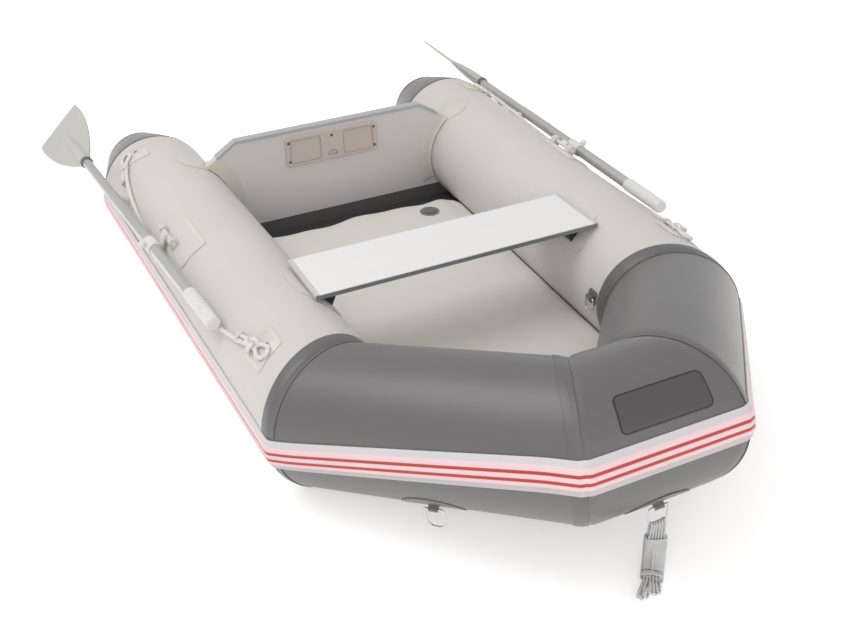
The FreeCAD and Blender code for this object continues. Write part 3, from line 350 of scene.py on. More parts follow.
def strakePaint(tree, place):
    # two red lines on pale rubber, read across the strip from its own map
    split = addNode(tree, "ShaderNodeSeparateXYZ")
    tree.links.new(place.outputs["UV"], split.inputs[0])
    ramp = addNode(tree, "ShaderNodeValToRGB")
    ramp.color_ramp.interpolation = "LINEAR"
    grey, rosy = linear(214, 210, 212), linear(240, 208, 212)
    low, red = linear(203, 195, 195), linear(184, 54, 48)
    stops = [(0.0, grey), (0.18, grey), (0.20, rosy), (0.345, rosy), (0.36, red), (0.44, red), (0.455, rosy),
             (0.575, rosy), (0.59, red), (0.67, red), (0.685, rosy), (0.79, rosy), (0.82, low), (1.0, low)]
    while len(ramp.color_ramp.elements) < len(stops):
        ramp.color_ramp.elements.new(0.5)
    for element, (position, colour) in zip(ramp.color_ramp.elements, stops):
        element.position, element.color = position, colour
    tree.links.new(split.outputs["Y"], ramp.inputs["Fac"])
    return ramp.outputs["Color"]


paleCloth = coatedCloth("paleCloth", (213, 207, 203), 0.42, 0.10, Coat_Weight=0.12, Coat_Roughness=0.35)
darkCloth = coatedCloth("darkCloth", (98, 96, 96), 0.42, 0.14, Coat_Weight=0.7, Coat_Roughness=0.36)
bandCloth = coatedCloth("bandCloth", (97, 95, 95), 0.42, 0.12, Coat_Weight=0.5, Coat_Roughness=0.36)
bottomCloth = coatedCloth("bottomCloth", (66, 63, 63), 0.5, 0.2)
floorCloth = coatedCloth("floorCloth", (224, 218, 213), 0.5, 0.10)
creamCloth = coatedCloth("creamCloth", (214, 206, 197), 0.38, 0.10, Subsurface_Weight=0.08,
                         Subsurface_Radius=(0.004, 0.003, 0.002))
# name, colour, roughness, amount and spread of the stains, their scale, the grain's scale and its depth
panelBoard = moulded("panelBoard", (216, 212, 210), 0.45, 0.06, 0.05, 4.0, 220.0, 0.00008)
greyRubber = moulded("greyRubber", (180, 182, 183), 0.5, 0.12, 0.1, 8.0, 300.0, 0.0001)
blackRubber = moulded("blackRubber", (98, 94, 94), 0.55, 0.2, 0.1, 8.0, 200.0, 0.00015)
capPlastic = moulded("capPlastic", (206, 200, 194), 0.4, 0.10, 0.08, 12.0, 400.0, 0.00006)
beigePlastic = moulded("beigePlastic", (204, 192, 183), 0.5, 0.10, 0.08, 12.0, 700.0, 0.00006)
whitePlastic = moulded("whitePlastic", (224, 221, 217), 0.38, 0.08, 0.08, 12.0, 500.0, 0.00005,
                       Subsurface_Weight=0.05, Subsurface_Radius=(0.003, 0.002, 0.002))
padPlastic = moulded("padPlastic", (214, 208, 202), 0.36, 0.10, 0.08, 12.0, 400.0, 0.00006, Coat_Weight=0.3,
                     Coat_Roughness=0.2, Subsurface_Weight=0.1, Subsurface_Radius=(0.004, 0.003, 0.002))
padShade = moulded("padShade", (168, 156, 147), 0.5, 0.10, 0.08, 12.0, 400.0, 0.00006)
padEdge = moulded("padEdge", (232, 226, 219), 0.34, 0.10, 0.08, 12.0, 400.0, 0.00006, Coat_Weight=0.3,
                  Coat_Roughness=0.2)
creamPlastic = moulded("creamPlastic", (212, 206, 195), 0.42, 0.10, 0.08, 12.0, 500.0, 0.00005)
# the thwart's supports: their own dark plastic, made near black to stand for the shade in the gap under the
# board's ends, so partly painted shade
supportBlackAndShade = moulded("supportBlackAndShade", (38, 37, 38), 0.5, 0.15, 0.1, 12.0, 500.0, 0.00008)
greyPlastic = moulded("greyPlastic", (122, 120, 119), 0.42, 0.12, 0.1, 14.0, 500.0, 0.00006)
bladePlastic = moulded("bladePlastic", (196, 193, 187), 0.45, 0.10, 0.1, 10.0, 90.0, 0.00010)
shaftMetal = moulded("shaftMetal", (206, 205, 201), 0.34, 0.12, 0.12, 20.0, 700.0, 0.00003,
                     stretch=(1, 0.04, 1), Metallic=0.85)
plankMetal = moulded("plankMetal", (240, 238, 236), 0.46, 0.05, 0.12, 14.0, 260.0, 0.00005,
                     stretch=(0.03, 1, 1), Metallic=0.25)
steel = moulded("steel", (215, 214, 212), 0.16, 0.08, 0.1, 30.0, 300.0, 0.00002, Metallic=1.0)
darkSteel = moulded("darkSteel", (110, 108, 106), 0.3, 0.1, 0.1, 30.0, 300.0, 0.00002, Metallic=1.0)
edgeMetal = moulded("edgeMetal", (132, 134, 134), 0.4, 0.08, 0.08, 20.0, 300.0, 0.00003, Metallic=0.3)
panelInk = moulded("panelInk", (48, 46, 47), 0.4, 0.1, 0.08, 12.0, 300.0, 0.00005)
panelFill = moulded("panelFill", (80, 78, 79), 0.42, 0.1, 0.08, 12.0, 300.0, 0.00005)
holeShade = moulded("holeShade", (40, 36, 35), 0.7, 0.1, 0.08, 12.0, 300.0, 0.00005)
stripedRubber = moulded("stripedRubber", (214, 210, 212), 0.36, 0.10, 0.1, 6.0, 40.0, 0.0006,
                        paint=strakePaint, Coat_Weight=0.2, Coat_Roughness=0.25)
ropeYarn = dressUp("ropeYarn", (246, 241, 237), 0.7, 0.12, 0.1, 60.0,
                   [("weave", 0.0022, 0.0004), ("ripple", 900.0, 0.0002)], Sheen_Weight=0.25)
# the tow rope's yarn: its own white, painted lighter than the grab rope's yarn to make up for the shade it
# lies in under the bow (painted light)
hankYarnPaintedLight = dressUp("hankYarnPaintedLight", (252, 248, 244), 0.75, 0.18, 0.1, 80.0,
                   [("weave", 0.0026, 0.0007), ("ripple", 900.0, 0.0003)], Sheen_Weight=0.2)
print("materials made")


# the air tubes

def mapSkin(bm, run, radius):
    # a map in metres: along the tube, and round it from the top
    layer = bm.loops.layers.uv.verify()
    for face in bm.faces:
        places = []
        for loop in face.loops:
            offset = loop.vert.co - run["start"]
            places.append([offset.dot(run["along"]), turnAbout(run, offset)])
        if max(p[1] for p in places) - min(p[1] for p in places) > math.pi:
            for p in places:
                p[1] += math.tau if p[1] < 0 else 0
        for loop, p in zip(face.loops, places):
            loop[layer].uv = (p[0], p[1] * radius)


def tubeSkin(run, before, after, cuts, grow=0.0, seams=(), sag=0.0):
    radius = hull["radius"] + grow
    length = run["length"] + before + after
    bm = bmesh.new()
    bmesh.ops.create_cone(bm, cap_ends=False, segments=hull["segments"], radius1=radius, radius2=radius,
                          depth=length)
    longEdges = [e for e in bm.edges if abs(e.verts[0].co.z - e.verts[1].co.z) > length / 2]
    bmesh.ops.subdivide_edges(bm, edges=longEdges, cuts=int(length / hull["step"]), use_grid_fill=True)
    bmesh.ops.translate(bm, vec=(0, 0, length / 2 - before), verts=bm.verts)
    bmesh.ops.transform(bm, matrix=runMatrix(run), verts=bm.verts)
    for point, normal, steps in cuts:
        cutAway(bm, point, normal, steps)
    pointOut(bm, run)
    mapSkin(bm, run, radius)
    for vert in bm.verts:
        radial = offAxis(run, vert.co).normalized()
        inward = sag * (0.5 + 0.5 * noise.noise(vert.co * hull["sagPace"]))
        for point, normal, depth, width, pucker in seams:
            gap = abs((vert.co - point).dot(normal))
            near = math.exp(-(gap / width) ** 2)
            radial = (radial - normal * radial.dot(normal) * near).normalized()
            inward += depth * near
            if pucker:
                turn = turnAbout(run, radial)
                drift = 3 * noise.noise(vert.co * gathers["pace"])
                fold = max(0.0, math.sin(turn * gathers["count"] + drift)) ** 2
                inner = max(0.0, -math.sin(turn))       # the inboard side of the bend gathers
                inward += pucker * fold * inner * math.exp(-gap / gathers["reach"])
        vert.co -= radial * inward
    return bm


def pointOut(bm, run):
    # all the faces turned to look away from the run
    bm.normal_update()
    flipped = [f for f in bm.faces if offAxis(run, f.calc_center_median()).dot(f.normal) < 0]
    bmesh.ops.reverse_faces(bm, faces=flipped)


gathers = {"count": 21, "pace": 5.0, "reach": 0.035}
fineRings = (0.0015, 0.004, 0.008, 0.013, 0.020, 0.030, 0.042)
# how deep the skin draws in at a joint, how wide, and how much it gathers there
folds = {"bow": (0.0035, 0.010, 0.0020), "nose": (0.0030, 0.010, 0.0015), "stern": (0.0015, 0.006, 0.0)}
bow, noseR, noseL, stern = bowJoint, noseJoint, noseJointLeft, sternJoint
bowFold, sternFold = (*bow, *folds["bow"]), (*stern, *folds["stern"])
noseFold, noseFoldLeft = (*noseR, *folds["nose"]), (*noseL, *folds["nose"])
past = hull["radius"]       # how far a tube is first made past a joint, before it is cut there


def tubePiece(name, run, after, cuts, seams, material, slot, replaced):
    bm = tubeSkin(run, past, after, [(point, normal, fineRings) for point, normal in cuts], seams=seams,
                  sag=hull["sag"])
    piece = finishPiece(bm, name, material, slot=slot, replaces=[replaced])
    return solidify(piece, hull["wall"])


sideRight = tubePiece("side_skin_right", sideRun, 0.0, [(bow[0], -bow[1]), stern], [bowFold, sternFold],
                      paleCloth, "light_fabric", "side_tube_right")
mirrorPiece(sideRight, "side_skin_left", replaces=["side_tube_left"])
quarterRight = tubePiece("bow_skin_right", quarterRun, past, [bow, (noseR[0], -noseR[1])],
                         [bowFold, noseFold], darkCloth, "dark_fabric", "bow_tube_right")
mirrorPiece(quarterRight, "bow_skin_left", replaces=["bow_tube_left"])
tubePiece("bow_skin_front", noseRun, past, [noseR, noseL], [noseFold, noseFoldLeft], darkCloth, "dark_fabric",
          "bow_tube_front")

bands = {"side": 0.034, "bow": 0.016, "nose": 0.028, "lift": 0.0011, "rings": (0.002, 0.006, 0.012, 0.02),
         "edge": 0.001}


def bandSkin(run, joint, sign, width, fold):
    # an overlap strip that starts at the joint and runs a little way along the run
    point, normal = joint
    return tubeSkin(run, past, past, [(point, -normal * sign, bands["rings"]),
                                      (point + normal * sign * width, normal * sign, (bands["edge"],))],
                    grow=bands["lift"], seams=[fold])


for place, run, joint, sign, fold, replaced in (("side", sideRun, bow, 1, bowFold, ["weld_bands"]),
                                                ("bow", quarterRun, bow, -1, bowFold, ()),
                                                ("nose", quarterRun, noseR, 1, noseFold, ())):
    band = finishPiece(bandSkin(run, joint, sign, bands[place], fold), "weld_band_" + place + "_right",
                       bandCloth, slot="dark_fabric", replaces=replaced)
    solidify(band, bands["lift"])
    mirrorPiece(band, "weld_band_" + place + "_left")
print("tubes made")

cone = {"length": 0.225, "endRadius": 0.096, "round": 0.046, "rings": 14, "bulge": 0.004, "roundRings": 8,
        "cap": 0.4}


def sternCone():
    # grown ring by ring from the tube's end, then rounded over and closed
    bm = bmesh.new()
    bmesh.ops.create_circle(bm, cap_ends=False, segments=hull["segments"], radius=hull["radius"])
    bodyEnd = cone["length"] - cone["round"]
    stations = []
    for index in range(1, cone["rings"] + 1):
        share = index / cone["rings"] * bodyEnd / cone["length"]
        taper = (cone["endRadius"] - hull["radius"]) * share + cone["bulge"] * math.sin(math.pi * share)
        stations.append((share * cone["length"], hull["radius"] + taper))
    lastRadius = stations[-1][1]
    for index in range(1, cone["roundRings"] + 1):
        turn = math.radians(90 * index / cone["roundRings"])
        stations.append((bodyEnd + cone["round"] * math.sin(turn),
                         lastRadius - (1 - math.cos(turn)) * cone["round"]))
    z, radius = 0.0, hull["radius"]
    ring = bm.edges[:]
    for nextZ, nextRadius in stations:
        grown = bmesh.ops.extrude_edge_only(bm, edges=ring)["geom"]
        verts, ring = onlyVerts(grown), onlyEdges(grown)
        bmesh.ops.translate(bm, vec=(0, 0, nextZ - z), verts=verts)
        bmesh.ops.scale(bm, vec=(nextRadius / radius, nextRadius / radius, 1), verts=verts)
        z, radius = nextZ, nextRadius
    cap = bmesh.ops.contextual_create(bm, geom=ring)["faces"]
    insetFaces(bm, cap, radius * cone["cap"])
    matrix = runMatrix(sideRun)
    matrix.translation = sideRun["end"]
    bmesh.ops.transform(bm, matrix=matrix, verts=bm.verts)
    bmesh.ops.recalc_face_normals(bm, faces=bm.faces)
    bm.normal_update()
    if sum(f.normal.dot(sideRun["along"]) for f in cap) < 0:
        bmesh.ops.reverse_faces(bm, faces=bm.faces)
    mapSkin(bm, sideRun, hull["radius"])
    depth, width, _ = folds["stern"]
    for vert in bm.verts:
        offset = vert.co - sideRun["end"]
        gap = offset.dot(sideRun["along"])
        radial = offset - sideRun["along"] * gap
        if radial.length > 0.01:        # the axis itself has no way out
            vert.co -= radial.normalized() * depth * math.exp(-(gap / width) ** 2)
    return bm


coneRight = finishPiece(sternCone(), "stern_cone_skin_right", darkCloth, slot="dark_fabric",
                        replaces=["stern_cone_right"])
solidify(coneRight, hull["wall"])
mirrorPiece(coneRight, "stern_cone_skin_left", replaces=["stern_cone_left"])


# the rubbing strake

strake = {"height": 0.072, "lift": 0.0003, "sharp": 50, "sideDrop": 0.012, "noseLift": 0.048,
          "aftY": 0.889, "bend": 0.038, "bendSteps": (0.002, 0.004, 0.006, 0.008, 0.010, 0.012, 0.014),
          "profile": [(0.0, 0.0), (0.0, 0.0028), (0.03, 0.0040), (0.17, 0.0042), (0.20, 0.0070),
                      (0.24, 0.0080), (0.34, 0.0082), (0.355, 0.0072), (0.445, 0.0072), (0.46, 0.0082),
                      (0.57, 0.0082), (0.585, 0.0072), (0.675, 0.0072), (0.69, 0.0082), (0.76, 0.0080),
                      (0.80, 0.0070), (0.83, 0.0042), (0.97, 0.0040), (1.0, 0.0028), (1.0, 0.0)]}


def strakeAngles():
    side = 90 + math.degrees(math.asin(strake["sideDrop"] / hull["radius"]))
    nose = 90 - math.degrees(math.asin(strake["noseLift"] / hull["radius"]))
    ends = []
    for run, joint, angle in ((sideRun, bow, side), (noseRun, noseR, nose)):
        reach = runNormal(run, angle) * hull["radius"]
        slide = -reach.dot(joint[1]) / run["along"].dot(joint[1])
        offset = joint[0] + reach + run["along"] * slide - quarterRun["start"]
        ends.append(math.degrees(turnAbout(quarterRun, offset)))
    return side, ends[1], ends[0], nose


def strakeLength(run, stations, cuts):
    # the section as a closed loop, carried from station to station along the run
    bm = bmesh.new()
    layer = bm.loops.layers.uv.verify()
    half = math.degrees(strake["height"] / 2 / hull["radius"])
    distance, angle = stations[0]
    verts = [bm.verts.new(skinPoint(run, distance, angle - half + 2 * half * share, strake["lift"] + height))
             for share, height in strake["profile"]]
    ring = [bm.edges.new((verts[i - 1], verts[i])) for i in range(len(verts))]
    for nextDistance, nextAngle in stations[1:]:
        grown = bmesh.ops.extrude_edge_only(bm, edges=ring)["geom"]
        moved, ring = onlyVerts(grown), onlyEdges(grown)
        bmesh.ops.translate(bm, vec=run["along"] * (nextDistance - distance), verts=moved)
        bmesh.ops.rotate(bm, cent=run["start"], verts=moved,
                         matrix=Matrix.Rotation(math.radians(nextAngle - angle), 3, run["along"]))
        distance, angle = nextDistance, nextAngle
    for point, normal in cuts:
        cutAway(bm, point, normal, strake["bendSteps"])
    bmesh.ops.recalc_face_normals(bm, faces=bm.faces)
    for face in bm.faces:
        for loop in face.loops:
            offset = loop.vert.co - run["start"]
            along = offset.dot(run["along"])
            turn = math.degrees(turnAbout(run, offset))
            for (d0, a0), (d1, a1) in zip(stations, stations[1:]):
                if d0 - 1e-6 <= along <= d1 + 1e-6:
                    middle = a0 + (a1 - a0) * (along - d0) / (d1 - d0)
                    loop[layer].uv = (along, (turn - middle + half) / (2 * half))
                    break
    for point, normal in cuts:
        # the rubber goes round a joint in a bend, not in a corner
        inward = up.cross(normal).normalized()
        if inward.dot(Vector((0, hull["sideBow"][1], 0)) - point) < 0:
            inward.negate()
        slope = abs(inward.dot(run["out"]))
        reach = strake["bend"] * math.sqrt(1 / slope ** 2 - 1)
        for vert in bm.verts:
            gap = (point - vert.co).dot(normal) / slope
            if gap < reach:
                depth = strake["bend"] - math.sqrt(strake["bend"] ** 2 - (reach - max(gap, 0.0)) ** 2)
                vert.co += inward * depth / slope
    bmesh.ops.holes_fill(bm, edges=[e for e in bm.edges if e.is_boundary], sides=60)
    return bm


def strakeSpots(run, end, startAngle, endAngle, count):
    # stations from well before the run to its end, with the angle going over from one joint to the next
    spots = []
    for index in range(count + 1):
        distance = index * (end + past) / count - past
        share = min(max(distance / run["length"], 0.0), 1.0)
        spots.append((distance, startAngle + (endAngle - startAngle) * share))
    return spots


def strakePiece(name, run, spots, cuts, replaces=()):
    return sharpen(finishPiece(strakeLength(run, spots, cuts), name, stripedRubber, slot="strake",
                               replaces=replaces), strake["sharp"])


sideAngle, foreAngle, aftAngle, noseAngle = strakeAngles()
sideSpots = strakeSpots(sideRun, distanceAtY(strake["aftY"]), sideAngle, sideAngle, 40)
quarterSpots = strakeSpots(quarterRun, quarterRun["length"] + past, foreAngle, aftAngle, 30)
noseSpots = strakeSpots(noseRun, noseRun["length"] + past, noseAngle, noseAngle, 14)
mirrorPiece(strakePiece("strake_side_right", sideRun, sideSpots, [(bow[0], -bow[1])], ["rub_strake"]),
            "strake_side_left")
mirrorPiece(strakePiece("strake_bow_right", quarterRun, quarterSpots, [bow, (noseR[0], -noseR[1])]),
            "strake_bow_left")
strakePiece("strake_nose", noseRun, noseSpots, [noseR, noseL])
print("strake made")


# pads glued on the skin

def roundPolygon(bm, corners, radius, segments=5):
    face = bm.faces.new([bm.verts.new((x, y, 0)) for x, y in corners])
    if radius:
        bmesh.ops.bevel(bm, geom=face.verts[:], offset=radius, affect="VERTICES", segments=segments,
                        profile=0.5, material=-1)
    return bm.faces[:]


def wrapPad(bm, run, distance, angle, lift=0.0003, pitch=0.006):
    # a flat pad, x round the tube and y along it, cut fine enough to bend onto the skin
    span = max(abs(v.co.x) for v in bm.verts)
    count = int(span / pitch)
    for index in range(-count, count + 1):
        sliceMesh(bm, (index * pitch, 0, 0), (1, 0, 0))
    mapPlan(bm)
    for vert in bm.verts:
        x, y, z = vert.co
        vert.co = skinPoint(run, distance + y, angle + math.degrees(x / hull["radius"]), z + lift)
    return bm


pressed = {"fall": 0.0010, "rise": 0.0012, "depth": 0.0004}


def padMesh(corners, radius, thickness, edge=0.0015, border=0.0):
    # a closed slab with a sloping rim, and a pressed line inside its border
    bm = bmesh.new()
    faces = roundPolygon(bm, corners, radius)
    faceUp(bm, faces)
    base = bmesh.ops.duplicate(bm, geom=faces[:])["geom"]
    bmesh.ops.reverse_faces(bm, faces=onlyFaces(base))
    bmesh.ops.translate(bm, vec=(0, 0, thickness * 0.4), verts=faces[0].verts[:])
    insetFaces(bm, faces, edge)
    bmesh.ops.translate(bm, vec=(0, 0, thickness * 0.6), verts=faces[0].verts[:])
    if border:
        insetFaces(bm, faces, border)
        insetFaces(bm, faces, pressed["fall"])
        bmesh.ops.translate(bm, vec=(0, 0, -pressed["depth"]), verts=faces[0].verts[:])
        insetFaces(bm, faces, pressed["rise"])
        bmesh.ops.translate(bm, vec=(0, 0, pressed["depth"]), verts=faces[0].verts[:])
    rims = [e for e in bm.edges if e.is_boundary]
    bmesh.ops.bridge_loops(bm, edges=rims)
    return bm


def ellipseCorners(halfX, halfY, count=28):
    turns = [math.tau * i / count for i in range(count)]
    return [(halfX * math.cos(turn), halfY * math.sin(turn)) for turn in turns]


saddle = {"halfAcross": 0.055, "halfAlong": 0.057, "y": 0.680, "angle": -26.5, "thickness": 0.0016,
          "border": 0.004}
saddleBm = padMesh(ellipseCorners(saddle["halfAcross"], saddle["halfAlong"]), 0, saddle["thickness"],
                   border=saddle["border"])
wrapPad(saddleBm, sideRun, distanceAtY(saddle["y"]), saddle["angle"])
mirrorPiece(sharpen(finishPiece(saddleBm, "saddle_patch_right", creamCloth, slot="patch")),
            "saddle_patch_left")


# the air floor

floor = {"top": 0.082, "thickness": 0.050, "sweepY": -0.430, "sweepRadius": 0.705, "bottom": 0.0285,
         "corners": [(0.372, 0.540), (0.338, -0.450), (0.070, -0.800), (-0.070, -0.800), (-0.338, -0.450),
                     (-0.372, 0.540)],
         "aftCorner": 0.09, "crown": 0.003, "gap": 0.0022, "under": 0.0035, "rimRings": 7, "cell": 0.012,
         "cutX": 0.36, "cutFore": -0.79, "cutAft": 0.53, "edgeX": 0.372, "fadeX": 0.06, "edgeY": 0.55,
         "fadeY": 0.08, "nearTube": 0.08, "sweepMost": 0.95}
# the crease across the floor, the two creases along it, and the waves of its aft edge
creases = {"crossY": -0.118, "crossSlope": 0.03, "crossX": -0.24, "crossDepth": 0.0055, "crossWidth": 0.010,
           "longX": 0.33, "longDepth": 0.0022, "longWidth": 0.012}
aftWaves = {"high": ((0.010, 17, 0.6), (0.005, 39, 1.0)), "y": 0.40, "fadeY": 0.14, "x": 0.34, "fadeX": 0.1}
valve = {"spot": (0.240, 0.455), "ring": 0.0325, "width": 0.0016, "height": 0.0009, "well": 0.034,
         "fade": 0.03, "sink": 0.0004}


def clamp(value, low=0.0, high=1.0):
    return max(low, min(value, high))


def tubeDistance(point):
    # how far a point is from the nearest tube's centre line, and the way out of that tube
    best = None
    for run in (sideRun, quarterRun, noseRun):
        spot = Vector((abs(point.x), point.y, point.z)) if run is not noseRun else point.copy()
        slide = (spot - run["start"]).dot(run["along"])
        radial = offAxis(run, spot)
        inside = -floor["nearTube"] < slide < run["length"] + floor["nearTube"]
        if inside and (best is None or radial.length < best[0]):
            way = radial.normalized()
            if point.x < 0 and run is not noseRun:
                way.x = -way.x
            best = (radial.length, way)
    return best


def sweepUp(y, level):
    # how much the bottom has risen at this place, for a layer at this level
    if y >= floor["sweepY"]:
        return 0.0
    radius = floor["sweepRadius"] - level
    reach = min((floor["sweepY"] - y) / radius, floor["sweepMost"])
    return radius * (1 - math.sqrt(1 - reach * reach))


def floorMesh():
    # half of the floor is grown from its outline, scored into cells, doubled, then bent to the hull
    bm = bmesh.new()
    roundPolygon(bm, floor["corners"], 0)
    aft = [v for v in bm.verts if v.co.y > 0.5]
    bmesh.ops.bevel(bm, geom=aft, offset=floor["aftCorner"], affect="VERTICES", segments=10, profile=0.5,
                    material=-1)
    faces = bm.faces[:]
    faceUp(bm, faces)
    half = floor["thickness"] / 2
    passed = 0.0
    for index in range(1, floor["rimRings"] + 1):
        turn = math.radians(90 * index / floor["rimRings"])
        inset = half * (1 - math.cos(turn))
        insetFaces(bm, faces, inset - passed)
        passed = inset
        for vert in faces[0].verts:
            vert.co.z = half * math.sin(turn)
    for axis, low, high in ((0, -floor["cutX"], floor["cutX"]), (1, floor["cutFore"], floor["cutAft"])):
        for index in range(int((high - low) / floor["cell"]) + 1):
            point, normal = Vector((0, 0, 0)), Vector((0, 0, 0))
            point[axis], normal[axis] = low + index * floor["cell"], 1
            sliceMesh(bm, point, normal)
    under = bmesh.ops.duplicate(bm, geom=everything(bm))["geom"]
    bmesh.ops.scale(bm, vec=(1, 1, -1), verts=onlyVerts(under))
    bmesh.ops.reverse_faces(bm, faces=onlyFaces(under))
    bmesh.ops.remove_doubles(bm, verts=bm.verts, dist=0.00002)
    mapPlan(bm)
    for vert in bm.verts:
        vert.co = floorSpot(*vert.co, half)
        near = tubeDistance(vert.co)
        reach = hull["radius"] + floor["gap"]
        if near and near[0] < reach:
            vert.co += near[1] * (reach - near[0])
    bmesh.ops.recalc_face_normals(bm, faces=bm.faces)
    return bm


def floorSpot(x, y, z, half):
    # where a place of the flat floor comes to lie: crowned, creased, wavy aft and swept up fore
    level = half + z + floor["under"]
    edgeX, edgeY = (floor["edgeX"] - abs(x)) / floor["fadeX"], (floor["edgeY"] - y) / floor["fadeY"]
    edge = min(edgeX, 1.0) * min(edgeY, 1.0)
    crown = floor["crown"] * max(edge, 0.0) * (1 + 0.8 * noise.noise(Vector((x * 4, y * 4, 0.3))))
    along = y - (creases["crossY"] - creases["crossSlope"] * (x - creases["crossX"]))
    uneven = 0.6 + 0.4 * noise.noise(Vector((x * 9, 2.0, 0)))
    crown -= creases["crossDepth"] * math.exp(-(along / creases["crossWidth"]) ** 2) * uneven
    for fold in (creases["longX"], -creases["longX"]):
        crown -= creases["longDepth"] * math.exp(-((x - fold) / creases["longWidth"]) ** 2) * (z > 0)
    wave = sum(high * math.sin(x * pace + start) for high, pace, start in aftWaves["high"])
    pull = clamp((y - aftWaves["y"]) / aftWaves["fadeY"])
    pull *= clamp((aftWaves["x"] - abs(x)) / aftWaves["fadeX"])
    well = math.hypot(x - valve["spot"][0], y - valve["spot"][1])
    crown *= clamp((well - valve["well"]) / valve["fade"])
    height = floor["bottom"] + level + (crown if z > 0 else 0) + sweepUp(y, level)
    if well < valve["well"] and z > 0:
        height = floor["top"] - valve["sink"]       # the valve's flange lies flat
    return Vector((x, y + wave * pull, height))


airFloor = finishPiece(floorMesh(), "air_floor_cover", floorCloth, slot="floor_fabric",
                       replaces=["air_floor"])
print("floor made")


# cloth at the transom

transom = {"foreY": 0.655, "thickness": 0.022, "flangeOuter": 0.042, "flangeThickness": 0.0016,
           "flangeWall": 0.0008, "base": 0.0002, "gap": 0.002, "steps": 60,
           "bead": ((0.0, 0.0002), (0.0, 0.011), (0.003, 0.0075), (0.0065, 0.0030)), "from": -30.0,
           "to": -112.0, "sillTop": 0.0765, "corner": (0.404, 0.299), "crown": (0.306, 0.360)}


def flangeRing(y, facing):
    # an arc of cloth round the tube, welded flat to the board, with a bead where it meets the tube
    bm = bmesh.new()
    run = sideRun
    centre = run["start"] + run["along"] * distanceAtY(y)
    centre.y = y
    inner = hull["radius"] + transom["gap"]
    thickness, outer = transom["flangeThickness"], transom["flangeOuter"]
    section = [(inner + out, height) for out, height in
               (*transom["bead"], (0.011, thickness), (outer - 0.002, thickness), (outer, transom["base"]))]
    start = math.radians(transom["from"])
    verts = [bm.verts.new((centre.x + radius * math.sin(start), y + facing * height,
                           centre.z + radius * math.cos(start))) for radius, height in section]
    edges = [bm.edges.new((verts[i], verts[i + 1])) for i in range(len(verts) - 1)]
    bmesh.ops.spin(bm, geom=verts + edges, cent=centre, axis=(0, 1, 0), dvec=(0, 0, 0),
                   angle=math.radians(transom["to"] - transom["from"]), steps=transom["steps"])
    sliceMesh(bm, (0, 0, transom["sillTop"]), (0, 0, -1), clear=True)
    (cornerX, cornerZ), (crownX, crownZ) = transom["corner"], transom["crown"]
    sliceMesh(bm, (cornerX, 0, cornerZ), (crownZ - cornerZ, 0, cornerX - crownX), clear=True)
    bmesh.ops.recalc_face_normals(bm, faces=bm.faces)
    bm.normal_update()
    if sum(f.normal.y * facing for f in bm.faces) < 0:
        bmesh.ops.reverse_faces(bm, faces=bm.faces)
    mapSkin(bm, run, hull["radius"])
    return bm


for place, y, facing, replaced in (("fore", transom["foreY"], -1, ["transom_flanges"]),
                                   ("aft", transom["foreY"] + transom["thickness"], 1, ())):
    flange = finishPiece(flangeRing(y, facing), "transom_flange_" + place + "_right", creamCloth,
                         slot="patch", replaces=replaced)
    mirrorPiece(solidify(flange, transom["flangeWall"]), "transom_flange_" + place + "_left")
print("transom dressed")


# ropes

def splineLine(name, points, order=3):
    # the smooth line that a rope's control points give, read back from a bare curve
    curve = bpy.data.curves.new(name, "CURVE")
    curve.dimensions = "3D"
    curve.resolution_u = 14
    spline = curve.splines.new("NURBS")
    spline.points.add(len(points) - 1)
    for place, point in zip(spline.points, points):
        place.co = (*point, 1.0)
    spline.order_u = order
    spline.use_endpoint_u = True
    bare = bpy.data.objects.new(name, curve)
    mesh = bpy.data.meshes.new_from_object(bare)
    line = [v.co.copy() for v in mesh.vertices]
    bpy.data.meshes.remove(mesh)
    bpy.data.objects.remove(bare)
    bpy.data.curves.remove(curve)
    return line


def lineLength(line):
    return sum((b - a).length for a, b in zip(line, line[1:]))


def spacedLine(line, step):
    # the same line with evenly spaced points
    total = lineLength(line)
    count = max(2, int(total / step))
    spots, walked, target = [line[0]], 0.0, total / count
    for a, b in zip(line, line[1:]):
        length = (b - a).length
        while walked + length >= target - 1e-9 and len(spots) < count:
            spots.append(a.lerp(b, (target - walked) / length))
            target += total / count
        walked += length
    spots.append(line[-1])
    return spots


def ropeMesh(line, radius, strands=3, lay=0.030, relief=0.10, segments=18):
    # rings carried along the line, each turned a little further so that the strands lie in a twist
    bm = bmesh.new()
    layer = bm.loops.layers.uv.verify()
    tangent = (line[1] - line[0]).normalized()
    side = tangent.cross(up if abs(tangent.z) < 0.9 else Vector((1, 0, 0))).normalized()
    walked, last, ringStart = 0.0, None, 0.0
    for index, point in enumerate(line):
        ahead = line[min(index + 1, len(line) - 1)] - line[max(index - 1, 0)]
        ahead.normalize()
        side = (side - ahead * side.dot(ahead)).normalized()
        other = ahead.cross(side)
        if index:
            walked += (point - line[index - 1]).length
        ring = []
        for step in range(segments):
            turn = math.tau * step / segments
            twist = turn - math.tau * walked / (lay * strands)
            bulge = 1 - relief + relief * abs(math.cos(strands * twist / 2))
            way = side * math.cos(turn) + other * math.sin(turn)
            ring.append(bm.verts.new(point + way * radius * bulge))
        if last:
            for step in range(segments):
                follow = (step + 1) % segments
                face = bm.faces.new((last[step], last[follow], ring[follow], ring[step]))
                wide = math.tau * radius / segments
                for loop, place in zip(face.loops, ((ringStart, step * wide), (ringStart, (step + 1) * wide),
                                                    (walked, (step + 1) * wide), (walked, step * wide))):
                    loop[layer].uv = place
        last, ringStart = ring, walked
    bmesh.ops.holes_fill(bm, edges=[e for e in bm.edges if e.is_boundary], sides=segments)
    bmesh.ops.recalc_face_normals(bm, faces=bm.faces)
    return bm


